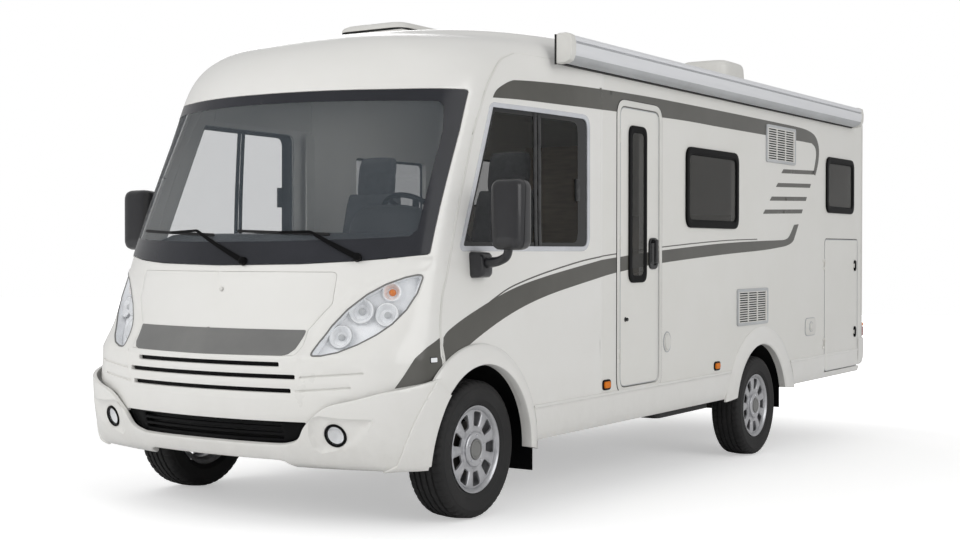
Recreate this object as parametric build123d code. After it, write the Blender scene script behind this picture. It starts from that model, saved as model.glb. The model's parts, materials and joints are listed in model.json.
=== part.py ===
from build123d import *
import math
import os

# Motorhome with an integrated cab, standing as it parks.
# Millimetres. X is to the vehicle's left, Y to its rear, Z up.
# The body is drawn level, with y = 0 at the front axle and z = 0 on the ground under it.
# stand() then tips it nose down about that line, and sets the part's origin on the ground under
# the middle of its length. The wheels and their uprights are drawn level.

# ---------------------------------------------------------------- driving dimensions
WHEELBASE = 3700.0
BODY_RAKE = 1.6             # degrees, nose down
RAKE_SHIFT = 18.88          # what the rake adds to the overhang ahead
HALF_WIDTH = 1110.0         # outer face of the side walls
OUTSIDE = HALF_WIDTH + 300  # beyond everything on one side
FRONT_OVERHANG = 950.0      # front axle to the nose
REAR_FACE = 6050.0          # rear wall's outer face
REAR_BUMPER_FACE = 6120.0
CAB_END = 1250.0            # where the cab's side pieces meet the long walls

WALL = 34.0                 # sandwich walls, roof and doors
SKIN = 24.0                 # moulded nose pieces
GLASS = 6.0
GAP = 6.0                   # running gap round a door or flap
SLIP = 0.4                  # play of a pin in its eye

SKIRT_FOOT = 355.0
WALL_FOOT = 548.0
FLOOR_TOP = 660.0
FLOOR_THICK = 46.0
WALL_TOP = 2460.0
ROOF_TOP = 2640.0

TYRE_RADIUS = 362.0
TYRE_WIDTH = 222.0
RIM_LIP_RADIUS = 224.0
RIM_WIDTH = 190.0
FRONT_LIP_X = HALF_WIDTH - 70   # outer rim edge
REAR_LIP_X = HALF_WIDTH - 32
HUB_BORE = 33.0
RIM_BARREL_RADIUS = 205.0
STEER_PIN_X = FRONT_LIP_X - 240
STEER_PIN_RADIUS = 15.0
PIN_PLAY = 0.05
KNUCKLE_HALF = 92.0         # half height of the upright
STRUT_RADIUS = 24.0

ARCH_FRONT_Y = -50.0        # arch centres
ARCH_REAR_Y = WHEELBASE + 20.0
ARCH_FRONT_RADIUS = 455.0   # mouth of the arch
ARCH_REAR_RADIUS = 480.0
ARCH_FRONT_Z = 352.0
ARCH_REAR_Z = 226.0
# Raised bands round the arch mouths: centre y, centre z and outer radius
FLARE_FRONT = (-75, 333, 585)
FLARE_REAR = (3745, 147, 695)
FLARE_PROUD = 24.0
MASK_FOOT = 880.0           # where the upper nose moulding ends
FLANK_Y = -430.0            # rear edge of the bumper's corners
LAMP_DEPTH = 62.0

RAIL_X = (370.0, 440.0)     # chassis rail, inner and outer face
RAIL_FOOT = 474.0
RAIL_FRONT = -640.0
ARM_FOOT = 396.0            # under side of the bumper's arms
RAIL_REAR = 5960.0
HINGE_RADIUS = 8.0
HINGE_PIN = 4.0
HINGE_HALF = 20.0
SMALL_HINGE = 5.0           # barrel radius of the nose flap's hinges
BONNET_HINGE_X = 120.0
BONNET_HINGE_Y = -806.0
HATCH_WALL = 40.0
SEAT_X = 500.0              # middle of a cab seat and of the steering wheel
LINING = 5.0
HOUSE_FRONT_RADIUS = ARCH_FRONT_RADIUS + 13     # wheel house inside
HOUSE_REAR_RADIUS = ARCH_REAR_RADIUS + 10
HOUSE_SWEEP_Y = 55.0        # second centre, behind the first, for the steered wheel
HOUSE_INNER_X = STEER_PIN_X - 240
HOUSE_REAR_INNER_X = REAR_LIP_X - 238
HOUSE_THICK = 6.0

# Nose and cab, as level sections from the bumper up to the roof. Widths are set in from HALF_WIDTH.
# height, nose y, fall of the nose's arc at full width, seam set in, seam y, set in at CAB_END
NOSE = [
    (380, -865, 272.1, 10, -420, 0),
    (560, -921, 272.1, 10, -420, 0),
    (870, -950, 300.6, 12, -370, 0),
    (1003, -870, 358.0, 28, -375, 0),
    (1317, -795, 429.2, 52, -300, 0),
    (2154, -480, 517.0, 88, 70, 0),
    (2310, -410, 517.0, 100, 145, 0),
    (2390, -350, 517.0, 112, 195, 0),
    (2460, -270, 491.1, 140, 265, 0),
    (2520, -160, 447.7, 182, 350, 18),
    (2570, 0, 412.4, 250, 470, 55),
    (2610, 190, 412.4, 270, 600, 120),
    (ROOF_TOP, 480, 412.4, 370, 800, 230),
]
# Bumper, as level sections: height, nose y, fall of its arc, proud of HALF_WIDTH, y of its rear corner
BUMPER = [
    (318, -790, 272.1, 2, FLANK_Y),
    (350, -850, 272.1, 14, FLANK_Y),
    (560, -930, 272.1, 24, FLANK_Y),
    (700, -950, 285.6, 24, FLANK_Y),
    (800, -955, 285.6, 16, FLANK_Y),
]

# Openings in the left wall: name, y from, y to, z from, z to, corner radius
DOOR = (1485, 2012, 570, 2257, 60)
WINDOWS_LEFT = [(2422, 3274, 1553, 2066, 55), (5114, 5776, 1710, 2146, 50)]
WINDOWS_RIGHT = [(1700, 2600, 1553, 2066, 55), (3200, 3900, 1710, 2146, 50), (5114, 5776, 1710, 2146, 50)]
GARAGE = (5085, 5917, 410, 1485, 40)
VENTS_LEFT = [(3815, 4400, 2052, 2320, 20), (3277, 3842, 862, 1114, 20)]
CAB_WINDOW = [(-95, 1412), (1078, 1412), (1078, 2145), (180, 2145)]

# Roof hatches: middle x, middle y, side, frame top, lid top
HATCHES = {"front": (0, 700, 480, 2662, 2702), "rear": (550, 4100, 420, 2700, 2850)}
LID_GAP = 7.0
LID_SKIN = 20.0
LID_CHAMFER = 18.0
LID_HINGE_IN = 110.0        # hinge, in from the side of the lid

# Service flap in the nose, half outline in front view: x, z
BONNET_HALF = [(570, 886), (600, 950), (655, 1060), (660, 1110), (660, 1286)]
# Lamp outline in front view: x, z
HEADLAMP = [(1020, 1278), (901, 1245), (823, 1203), (745, 1145), (690, 1062), (648, 946), (632, 874),
            (685, 875), (775, 896), (858, 925), (922, 969), (976, 1052), (1006, 1157)]
# Windscreen half outline in front view: x, z
WINDSCREEN_HALF = [(0, 1319), (470, 1327), (750, 1343), (920, 1360), (985, 1378), (982, 1900),
                   (976, 2160), (955, 2200), (900, 2222), (0, 2225)]
# Wipers in front view: pivot, arm's end, blade's two ends
WIPERS = [
    ((153, 1337), (-211, 1491), (-790, 1498), (-80, 1470)),
    ((741, 1357), (492, 1482), (79, 1489), (589, 1471)),
]
MARKERS = [(1313, 598), (2930, 601)]
# Awning case across the body: out from the wall, z
AWNING_SECTION = [(0, 2432), (50, 2440), (96, 2470), (102, 2530), (96, 2575), (70, 2592), (15, 2592), (3, 2580),
                  (3, WALL_TOP), (0, WALL_TOP)]
AWNING_FRONT, AWNING_REAR = 700.0, 5746.0
MIRROR_OUT = (102.0, 284.0)     # mirror housing, out from the wall
MIRROR_Z = (1394.0, 1752.0)
RECEIVER_FRONT, RECEIVER_Z, RECEIVER_RADIUS = 5990.0, 365.0, 20.0
JACK_PADS_Y = (640, 4480)
JACK_PAD_FOOT = 460.0

# Upper edge of the bumper in front view, half: x, z
BUMPER_EDGE = [(0, 438), (500, 440), (566, 470), (618, 545), (731, 635), (875, 675), (1025, 719), (HALF_WIDTH + 90, 775)]
LOWER_GRILLE_HALF = [(0, 556), (615, 556), (618, 545), (566, 470), (500, 440), (0, 438)]
SLOTS = [(836, 430), (776, 520), (708, 510)]    # height, half length
SLOT_HEIGHT = 17.0
FOG_LAMP = (765, 496, 46)                       # x, z, radius

# Seam between the nose and the cab sides, in side view: y, z
SEAM = [(-334, 700), (-378, 870), (-384, 1003), (-349, 1160), (-304, 1317), (66, 2154), (141, 2310),
        (231, 2420), (416, WALL_TOP), (CAB_END, WALL_TOP)]


# ---------------------------------------------------------------- small helpers
def box(x0, x1, y0, y1, z0, z1):
    return Pos((x0 + x1) / 2, (y0 + y1) / 2, (z0 + z1) / 2) * Box(x1 - x0, y1 - y0, z1 - z0)


def outline(points):
    return make_face(Polyline(*points, close=True))


def along_x(points, x0, x1):
    """A prism with its outline in side view, as y and z."""
    return extrude(Plane((x0, 0, 0), x_dir=(0, 1, 0), z_dir=(1, 0, 0)) * outline(points), x1 - x0)


def along_y(points, y0, y1):
    """A prism with its outline in front view, as x and z."""
    return extrude(Plane((0, y1, 0), x_dir=(1, 0, 0), z_dir=(0, -1, 0)) * outline(points), y1 - y0)


def along_z(points, z0, z1):
    """A prism with its outline in plan, as x and y."""
    return extrude(Plane((0, 0, z0)) * outline(points), z1 - z0)


def panel(hole, x0, x1, grow=0.0):
    """A plate across X with rounded corners, from y, y, z, z and corner radius."""
    y0, y1, z0, z1, corner = hole
    face = RectangleRounded(y1 - y0 + 2 * grow, z1 - z0 + 2 * grow, corner + grow)
    plane = Plane((x0, (y0 + y1) / 2, (z0 + z1) / 2), x_dir=(0, 1, 0), z_dir=(1, 0, 0))
    return extrude(plane * face, x1 - x0)


def rod_x(x0, x1, y, z, radius):
    return Pos((x0 + x1) / 2, y, z) * Rot(0, 90, 0) * Cylinder(radius, x1 - x0)


def rod_y(x, y0, y1, z, radius):
    return Pos(x, (y0 + y1) / 2, z) * Rot(90, 0, 0) * Cylinder(radius, y1 - y0)


def rod_z(x, y, z0, z1, radius):
    return Pos(x, y, (z0 + z1) / 2) * Cylinder(radius, z1 - z0)


def mirrored(half):
    """A closed outline from its right half, given from the middle line out and back."""
    return half + [(-x, z) for x, z in reversed(half) if x > 0]


def other_side(shape):
    return mirror(shape, about=Plane.YZ)


def stand(shape):
    """From the level body's place to the part's own frame."""
    return Location((0, FRONT_AXLE_Y, 0), (BODY_RAKE, 0, 0)) * shape


def settle(shape):
    """The same for what stands level: wheels and uprights."""
    return Pos(0, FRONT_AXLE_Y, 0) * shape


def bar(start, end, radius):
    """A round bar between two points."""
    run = Vector(*end) - Vector(*start)
    return extrude(Plane(origin=start, z_dir=run) * Circle(radius), run.length)


def both_sides(shape):
    return shape + other_side(shape)


def in_body(y, z):
    """A level point's place in the tipped body."""
    turn = math.radians(BODY_RAKE)
    return y * math.cos(turn) + z * math.sin(turn), z * math.cos(turn) - y * math.sin(turn)


FRONT_AXLE_Y = -(REAR_BUMPER_FACE - FRONT_OVERHANG) / 2 + RAKE_SHIFT


# ---------------------------------------------------------------- curved nose
def plan_section(z, nose_y, fall, seam_in, seam_y, end_in, end_y, inset=0.0):
    """Level section of the cab: a wide arc across the nose, corner arcs, long side arcs."""
    nose_y, nose_radius = nose_y + inset, (HALF_WIDTH ** 2 + fall ** 2) / (2 * fall) - inset
    seam_x, end_x = HALF_WIDTH - seam_in - inset, HALF_WIDTH - end_in - inset
    widen, run = end_x - seam_x, end_y - seam_y
    side_radius = (widen ** 2 + run ** 2) / (2 * widen)
    lean = math.asin(run / side_radius)
    normal = (-math.cos(lean), math.sin(lean))
    ax, ay = seam_x, seam_y - (nose_y + nose_radius)
    corner = (nose_radius ** 2 - ax ** 2 - ay ** 2) / (2 * (ax * normal[0] + ay * normal[1]) + 2 * nose_radius)
    cx, cy = seam_x + corner * normal[0], seam_y + corner * normal[1]
    start = math.atan2(cx, nose_y + nose_radius - cy)
    stop = math.pi / 2 - lean
    middle = (start + stop) / 2

    def on_corner(angle):
        return cx + corner * math.sin(angle), cy - corner * math.cos(angle)

    def at(point, side=1):
        return (side * point[0], point[1], z)

    joint, bend = on_corner(start), on_corner(middle)
    half_lean = lean / 2
    side = (end_x - side_radius * (1 - math.cos(half_lean)), end_y - side_radius * math.sin(half_lean))
    edges = [ThreePointArc(at(joint, -1), (0, nose_y, z), at(joint))]
    for s in (1, -1):
        edges.append(ThreePointArc(at(joint, s), at(bend, s), at((seam_x, seam_y), s)))
        edges.append(ThreePointArc(at((seam_x, seam_y), s), at(side, s), at((end_x, end_y), s)))
    edges.append(Line(at((end_x, end_y)), at((end_x, end_y), -1)))
    return Wire(edges)


def nose_solid(inset=0.0):
    """The nose and cab as one closed form, its faces set in by inset."""
    wires = []
    for i, (z, nose_y, fall, seam_in, seam_y, end_in) in enumerate(NOSE):
        below, above = NOSE[max(i - 1, 0)], NOSE[min(i + 1, len(NOSE) - 1)]
        rise, run = above[0] - below[0], above[1] - below[1]
        lift = max(run, 0) / math.hypot(rise, run)
        if i == len(NOSE) - 1:
            lift = 1.0
        drop = inset * lift
        if i == 0:
            drop = 20.0 if inset else 0.0
        wires.append(plan_section(z - drop, nose_y, fall, seam_in, seam_y, end_in,
                                  CAB_END + (20.0 if inset else 0.0), inset))
    return Solid.make_loft(wires, ruled=True)


def bumper_solid(inset=0.0):
    wires = []
    for i, (z, nose_y, fall, proud, corner_y) in enumerate(BUMPER):
        over = 0.0
        if inset and i == 0:
            over = -20.0
        if inset and i == len(BUMPER) - 1:
            over = 20.0
        wires.append(plan_section(z + over, nose_y, fall, -proud, corner_y, -proud - 6,
                                  20.0 if inset else 0.0, inset))
    return Solid.make_loft(wires, ruled=True)



# ---------------------------------------------------------------- nose, cab and bumper
def nose_skin(outer=0.0, inner=SKIN):
    return Part() + nose_solid(outer) - nose_solid(inner)


def front_prism(points, grow=0.0):
    """A prism ahead of y = 0, from a front outline that may be grown all round."""
    face = outline(points)
    if grow:
        face = offset(face, grow, kind=Kind.INTERSECTION)
    return extrude(Plane((0, 0, 0), x_dir=(1, 0, 0), z_dir=(0, -1, 0)) * face, 1300)


def strip(start, end, half):
    """The corners of a straight strip, in front view."""
    run = Vector(end[0] - start[0], end[1] - start[1]).normalized() * half
    across = (-run.Y, run.X)
    return [(start[0] + across[0], start[1] + across[1]), (start[0] - across[0], start[1] - across[1]),
            (end[0] - across[0], end[1] - across[1]), (end[0] + across[0], end[1] + across[1])]


def cab_window_prism():
    plane = Plane((-OUTSIDE, 0, 0), x_dir=(0, 1, 0), z_dir=(1, 0, 0))
    return extrude(plane * fillet(outline(CAB_WINDOW).vertices(), 55), 2 * OUTSIDE)


def build_nose():
    """The pieces cut from the moulded nose and cab."""
    skin = nose_skin()
    ahead = along_x([(-1500, 0), (SEAM[0][0], 0)] + SEAM + [(CAB_END, 3000), (-1500, 3000)], -OUTSIDE, OUTSIDE)
    screen_cut = along_y(mirrored(WINDSCREEN_HALF), -1200, 60)
    bonnet_outline = mirrored([(0, BONNET_HALF[0][1])] + BONNET_HALF + [(0, BONNET_HALF[-1][1])])
    lamp_cut = along_y(HEADLAMP, -1200, -300)
    lamp_cuts = lamp_cut + other_side(lamp_cut)
    bumper_zone = front_prism([(-x, z) for x, z in reversed(BUMPER_EDGE[1:])] + BUMPER_EDGE
                              + [(HALF_WIDTH + 90, 200), (-HALF_WIDTH - 90, 200)])
    mouth = along_y(mirrored(LOWER_GRILLE_HALF), -1200, -500)
    slots = Part()
    for z, half in SLOTS:
        slots += box(-half, half, -1200, -600, z - SLOT_HEIGHT / 2, z + SLOT_HEIGHT / 2)
    wheel_room = rod_x(-OUTSIDE, OUTSIDE, ARCH_FRONT_Y, ARCH_FRONT_Z, ARCH_FRONT_RADIUS)
    above = box(-OUTSIDE, OUTSIDE, -1200, 3000, MASK_FOOT, 3000)
    bonnet_hole = front_prism(bonnet_outline, GAP)

    whole = skin - wheel_room
    front_piece = whole & ahead
    mask = (front_piece & above) - screen_cut - bonnet_hole - lamp_cuts
    knuckles, lugs = bonnet_hinge()
    mask = (mask - knuckle_room()) + lugs
    for hatch_hole in hatch_holes():
        mask -= hatch_hole
    lower = front_piece - above - bumper_zone - mouth - slots - lamp_cuts - bonnet_hole
    lower -= box(-OUTSIDE, OUTSIDE, FLANK_Y, 500, 300, SEAM[0][1])
    sides = whole - ahead - cab_window_prism() - box(-OUTSIDE, OUTSIDE, -1200, CAB_END, 0, WALL_FOOT)
    sides -= box(-OUTSIDE, OUTSIDE, -1200, 3000, WALL_TOP, 3000)
    return {
        "front_mask": mask,
        "grille_panel": lower,
        "bonnet": (skin & front_prism(bonnet_outline)) - lug_room() + knuckles,
        "windscreen": nose_skin(1.0, 1.0 + GLASS) & screen_cut & ahead,
        "headlamps": nose_skin(2.0, LAMP_DEPTH) & lamp_cuts & ahead,
        "cab_sides": sides,
        "cab_windows": (nose_skin(4.0, 4.0 + GLASS) - ahead) & cab_window_prism(),
    }


def bonnet_axis():
    """Where the flap's hinges lie, in the gap above it: y and z."""
    return BONNET_HINGE_Y, BONNET_HALF[-1][1] + GAP / 2


def at_bonnet_hinges(shape):
    return Pos(BONNET_HINGE_X, 0, 0) * shape + Pos(-BONNET_HINGE_X, 0, 0) * shape


def knuckle_room():
    y, z = bonnet_axis()
    half = HINGE_HALF + 1
    return at_bonnet_hinges(box(-half, half, y - 10, y + 40, z - 20, z + SMALL_HINGE + 2))


def lug_room():
    y, z = bonnet_axis()
    room = Part()
    for s in (1, -1):
        near, far = sorted((s * HINGE_HALF, s * (HINGE_HALF + 26)))
        room += box(near, far, y - 10, y + 40, z - 20, z)
    return at_bonnet_hinges(room)


def bonnet_hinge():
    """The flap's knuckles, and the lugs with the pin that stand on the nose moulding."""
    y, z = bonnet_axis()
    pin = SMALL_HINGE / 2
    knuckle = rod_x(-HINGE_HALF, HINGE_HALF, y, z, SMALL_HINGE)
    knuckle += box(-HINGE_HALF, HINGE_HALF, y, y + 20, z - 24, z - 2)
    knuckle -= rod_x(-2 * HINGE_HALF, 2 * HINGE_HALF, y, z, pin + PIN_PLAY)
    reach = HINGE_HALF + 20
    lugs = rod_x(-reach, reach, y, z, pin)
    for s in (1, -1):
        near, far = sorted((s * (HINGE_HALF + 2), s * reach))
        lugs += box(near, far, y - SMALL_HINGE, y + 22, z - SMALL_HINGE, z + 12)
    return at_bonnet_hinges(knuckle), at_bonnet_hinges(lugs)


def build_bumper():
    zone = front_prism([(-x, z) for x, z in reversed(BUMPER_EDGE[1:])] + BUMPER_EDGE
                       + [(HALF_WIDTH + 90, 200), (-HALF_WIDTH - 90, 200)])
    skin = (Part() + bumper_solid() - bumper_solid(SKIN)) & zone
    skin &= box(-OUTSIDE, OUTSIDE, -1200, FLANK_Y, 0, 1000)
    skin -= rod_x(-OUTSIDE, OUTSIDE, ARCH_FRONT_Y, ARCH_FRONT_Z, ARCH_FRONT_RADIUS)
    inside = Part() + bumper_solid(SKIN)
    x, z, radius = FOG_LAMP
    lamps = Part()
    for s in (1, -1):
        skin -= rod_y(s * x, -1200, -500, z, radius + 10)
        lamps += rod_y(s * x, -1000, -640, z, radius + 10) & (bumper_solid(3.0) - bumper_solid(70.0))
    arm = box(RAIL_X[0], RAIL_X[1], -1000, RAIL_FRONT, ARM_FOOT, ARM_FOOT + 30)
    arm += box(RAIL_X[0], RAIL_X[1], RAIL_FRONT - 30, RAIL_FRONT, ARM_FOOT, RAIL_FOOT + 80)
    skin += both_sides(arm) & inside
    grille = nose_skin(12.0, 24.0) & along_y(mirrored(LOWER_GRILLE_HALF), -1200, -500)
    for slat in (462, 494, 526):
        grille -= box(-470, 470, -1200, -500, slat, slat + 18)
    return {"front_bumper": skin, "fog_lamps": lamps, "lower_grille": grille}


# ---------------------------------------------------------------- living body
def roof_half():
    """Half of the roof's outline across the body, from the wall's top to the middle."""
    return [(HALF_WIDTH, WALL_TOP)] + [(HALF_WIDTH - row[5], row[0]) for row in NOSE if row[0] > WALL_TOP] + [(0, ROOF_TOP)]


ROOF_INNER_HALF = [(HALF_WIDTH - WALL, WALL_TOP), (HALF_WIDTH - 50, 2508), (HALF_WIDTH - 82, 2550),
                   (HALF_WIDTH - 135, 2580), (HALF_WIDTH - 240, ROOF_TOP - WALL), (0, ROOF_TOP - WALL)]


def hatch_opening(name):
    x, y, side, frame_top, lid_top = HATCHES[name]
    half = side / 2
    return box(x - half, x + half, y - half, y + half, ROOF_TOP - 120, ROOF_TOP + 10)


def hatch_holes():
    return [hatch_opening(name) for name in HATCHES]


def hatch_axis(name):
    """A lid's hinge line, at its rear edge: y and z."""
    x, y, side, frame_top, lid_top = HATCHES[name]
    return y + side / 2 + HINGE_RADIUS + 2, frame_top + LID_GAP + HINGE_RADIUS


def build_hatch(name):
    x, y, side, frame_top, lid_top = HATCHES[name]
    half, clear = side / 2, side / 2 - HATCH_WALL
    foot = ROOF_TOP - SKIN
    frame = box(x - half, x + half, y - half, y + half, foot, frame_top)
    frame -= box(x - clear, x + clear, y - clear, y + clear, foot - 1, frame_top + 1)
    lid = box(x - half, x + half, y - half, y + half, frame_top + LID_GAP, lid_top)
    lid = fillet(lid.edges().filter_by(Axis.Z), 50)
    lid = chamfer(lid.faces().sort_by(Axis.Z)[-1].edges(), LID_CHAMFER)
    hollow = box(x - half + LINING, x + half - LINING, y - half + LINING, y + half - LINING,
                 frame_top, lid_top - LID_SKIN)
    lid -= fillet(hollow.edges().filter_by(Axis.Z), 45)
    axis_y, axis_z = hatch_axis(name)
    for at in (x - half + LID_HINGE_IN, x + half - LID_HINGE_IN):
        eye = rod_x(at - HINGE_HALF, at + HINGE_HALF, axis_y, axis_z, HINGE_RADIUS)
        eye += box(at - HINGE_HALF, at + HINGE_HALF, y + half - LINING, axis_y, axis_z - 4, axis_z + 4)
        lid += eye - rod_x(at - 30, at + 30, axis_y, axis_z, HINGE_PIN + PIN_PLAY)
        frame += rod_x(at - 45, at + 45, axis_y, axis_z, HINGE_PIN)
        for s in (1, -1):
            near, far = sorted((at + s * (HINGE_HALF + 2), at + s * (HINGE_HALF + 22)))
            frame += box(near, far, y + half - 5, axis_y + 6, ROOF_TOP, frame_top)
            frame += box(near, far, axis_y - 6, axis_y + 6, frame_top - 1, axis_z) + rod_x(near, far, axis_y, axis_z, 6)
    return frame, lid


def door_hinge(y, z):
    """A surface hinge on the left wall: the door's half and the wall's half."""
    x = HALF_WIDTH + HINGE_RADIUS
    leaf_x = HALF_WIDTH + 6
    reach = 2 * HINGE_HALF + 2
    moving = rod_z(x, y, z - HINGE_HALF, z + HINGE_HALF, HINGE_RADIUS)
    moving += box(HALF_WIDTH, leaf_x, y, y + 34, z - HINGE_HALF, z + HINGE_HALF)
    moving -= rod_z(x, y, z - reach, z + reach, HINGE_PIN + PIN_PLAY)
    fixed = rod_z(x, y, z - reach, z + reach, HINGE_PIN)
    for s in (1, -1):
        near, far = sorted((z + s * (HINGE_HALF + 1), z + s * reach))
        fixed += rod_z(x, y, near, far, HINGE_RADIUS)
        fixed += box(HALF_WIDTH, leaf_x, y - 34, y, near, far)
    return moving, fixed


def hinge_line(hole):
    return hole[0] - GAP + 1


def build_doors():
    """Entry door and the two garage doors, with their hinges; and the wall's hinge halves."""
    inner = HALF_WIDTH - WALL
    window = (1602, 1828, 1205, 2145, 45)
    entry = panel(DOOR, inner, HALF_WIDTH) - panel(window, inner - 1, HALF_WIDTH + 1, -22)
    glazing = panel(window, HALF_WIDTH, HALF_WIDTH + GLASS)
    handle = box(HALF_WIDTH, HALF_WIDTH + 10, 1868, 1990, 1275, 1472)
    handle += box(HALF_WIDTH + 10, HALF_WIDTH + 34, 1880, 1904, 1290, 1456)
    garage = panel(GARAGE, inner, HALF_WIDTH)
    fixed_left, fixed_right = Part(), Part()
    for z in (760, 1440, 2080):
        moving, fixed = door_hinge(hinge_line(DOOR), z)
        entry += moving
        fixed_left += fixed
    for z in (640, 1280):
        moving, fixed = door_hinge(hinge_line(GARAGE), z)
        garage += moving
        fixed_left += fixed
        fixed_right += fixed
    for z in (700, 1264):
        garage += rod_x(HALF_WIDTH, HALF_WIDTH + 9, 5838, z, 30)
    nodes = {"entry_door": entry, "entry_door_window": glazing, "entry_handle": handle,
             "garage_door_left": garage, "garage_door_right": other_side(garage)}
    return nodes, fixed_left, other_side(fixed_right)


def arch_disc(y, z, radius):
    return rod_x(-OUTSIDE, OUTSIDE, y, z, radius)


def arch_mouths():
    return (arch_disc(ARCH_FRONT_Y, ARCH_FRONT_Z, ARCH_FRONT_RADIUS)
            + arch_disc(ARCH_REAR_Y, ARCH_REAR_Z, ARCH_REAR_RADIUS))


def build_body(hinges_left, hinges_right):
    inner, back = HALF_WIDTH - WALL, REAR_FACE - WALL
    wall = box(inner, HALF_WIDTH, CAB_END, back, WALL_FOOT, WALL_TOP)
    rear_arch = arch_disc(ARCH_REAR_Y, ARCH_REAR_Z, ARCH_REAR_RADIUS)
    left, right = wall - rear_arch, wall - rear_arch
    glass, frames = Part(), Part()
    left -= panel(DOOR, inner - 1, HALF_WIDTH + 1, GAP)
    for hole in WINDOWS_LEFT:
        left -= panel(hole, inner - 1, HALF_WIDTH + 1, -28)
        glass += panel(hole, HALF_WIDTH, HALF_WIDTH + GLASS)
        frames += panel(hole, HALF_WIDTH + GLASS, HALF_WIDTH + 14) - panel(hole, HALF_WIDTH, HALF_WIDTH + 15, -30)
    glass_right, frames_right = Part(), Part()
    for hole in WINDOWS_RIGHT:
        right -= panel(hole, inner - 1, HALF_WIDTH + 1, -28)
        glass_right += panel(hole, HALF_WIDTH, HALF_WIDTH + GLASS)
        frames_right += (panel(hole, HALF_WIDTH + GLASS, HALF_WIDTH + 14)
                         - panel(hole, HALF_WIDTH, HALF_WIDTH + 15, -30))
    garage_hole = panel(GARAGE, inner - 1, HALF_WIDTH + 1, GAP)
    left -= garage_hole
    right -= garage_hole
    vents = Part()
    for hole in VENTS_LEFT:
        vents += panel(hole, HALF_WIDTH, HALF_WIDTH + 8)
    caps = rod_x(HALF_WIDTH, HALF_WIDTH + 12, 2138, 808, 62)
    caps += box(HALF_WIDTH, HALF_WIDTH + 10, 4680, 4822, 708, 864)

    skirt = box(HALF_WIDTH - 25, HALF_WIDTH, 0, REAR_FACE, SKIRT_FOOT, WALL_FOOT) - garage_hole
    mouths = arch_mouths()
    flares = Part()
    for y, z, radius in (FLARE_FRONT, FLARE_REAR):
        flares += rod_x(HALF_WIDTH, HALF_WIDTH + FLARE_PROUD, y, z, radius)
    flares = flares & box(0, OUTSIDE, FLANK_Y + 0.3, 5000, SKIRT_FOOT, 1200)
    flares += rod_x(HALF_WIDTH - 50, HALF_WIDTH, *FLARE_FRONT) & box(0, OUTSIDE, FLANK_Y + 0.3, 0, 620, 1200)
    flares -= nose_solid()
    skirt = (skirt + flares) - mouths

    roof = (along_y(mirrored(roof_half()), CAB_END, back)
            - along_y(mirrored(ROOF_INNER_HALF), CAB_END - 1, back + 1))
    roof -= hatch_opening("rear")
    rear = along_y(mirrored([(0, WALL_FOOT), (HALF_WIDTH, WALL_FOOT)] + roof_half()), back, REAR_FACE)

    top, under = FLOOR_TOP, FLOOR_TOP - FLOOR_THICK
    floor = box(-inner, inner, 600, back, under, top)
    cab_half = HOUSE_INNER_X - HOUSE_THICK
    floor += box(-cab_half, cab_half, -320, 600, under, top)
    floor -= both_sides(rod_x(HOUSE_REAR_INNER_X - HOUSE_THICK, OUTSIDE, ARCH_REAR_Y, ARCH_REAR_Z,
                              HOUSE_REAR_RADIUS + HOUSE_THICK))
    for hole in (DOOR, GARAGE):
        floor -= both_sides(box(inner - 10, inner + 10, hole[0] - 20, hole[1] + 20, under - 1, top + 1))
    return {
        "side_walls": (left + hinges_left) + (other_side(right) + hinges_right),
        "side_windows": glass + other_side(glass_right),
        "window_frames": frames + other_side(frames_right),
        "wall_fittings": vents + caps, "skirts": both_sides(skirt),
        "roof_panel": roof, "rear_wall": rear, "floor_panel": floor,
    }


# ---------------------------------------------------------------- running gear
def build_houses():
    def hollow(grow):
        radius = HOUSE_FRONT_RADIUS + grow
        shape = rod_x(HOUSE_INNER_X - grow, OUTSIDE, ARCH_FRONT_Y, ARCH_FRONT_Z, radius)
        shape += rod_x(HOUSE_INNER_X - grow, OUTSIDE, HOUSE_SWEEP_Y, ARCH_FRONT_Z, radius)
        shape += box(HOUSE_INNER_X - grow, OUTSIDE, ARCH_FRONT_Y, HOUSE_SWEEP_Y, 0, ARCH_FRONT_Z + radius)
        return shape

    front = (hollow(HOUSE_THICK) - hollow(0)) & nose_solid(SKIN)
    inner = HALF_WIDTH - WALL
    rear = rod_x(HOUSE_REAR_INNER_X - HOUSE_THICK, inner, ARCH_REAR_Y, ARCH_REAR_Z, HOUSE_REAR_RADIUS + HOUSE_THICK)
    rear -= rod_x(HOUSE_REAR_INNER_X, inner + 1, ARCH_REAR_Y, ARCH_REAR_Z, HOUSE_REAR_RADIUS)
    rear &= box(0, OUTSIDE, WHEELBASE - 700, WHEELBASE + 800, SKIRT_FOOT, 1000)
    front_edge = HOUSE_SWEEP_Y + HOUSE_FRONT_RADIUS
    front += box(FRONT_LIP_X - 190, FRONT_LIP_X + 30, front_edge, front_edge + HOUSE_THICK, 190, 400)
    drop = SKIRT_FOOT - ARCH_REAR_Z
    rear_edge = ARCH_REAR_Y + math.sqrt(HOUSE_REAR_RADIUS ** 2 - drop ** 2)
    rear += box(REAR_LIP_X - 198, REAR_LIP_X - 8, rear_edge, rear_edge + HOUSE_THICK, 200, SKIRT_FOOT + 10)
    return {"wheel_houses": both_sides(front + rear)}


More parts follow.
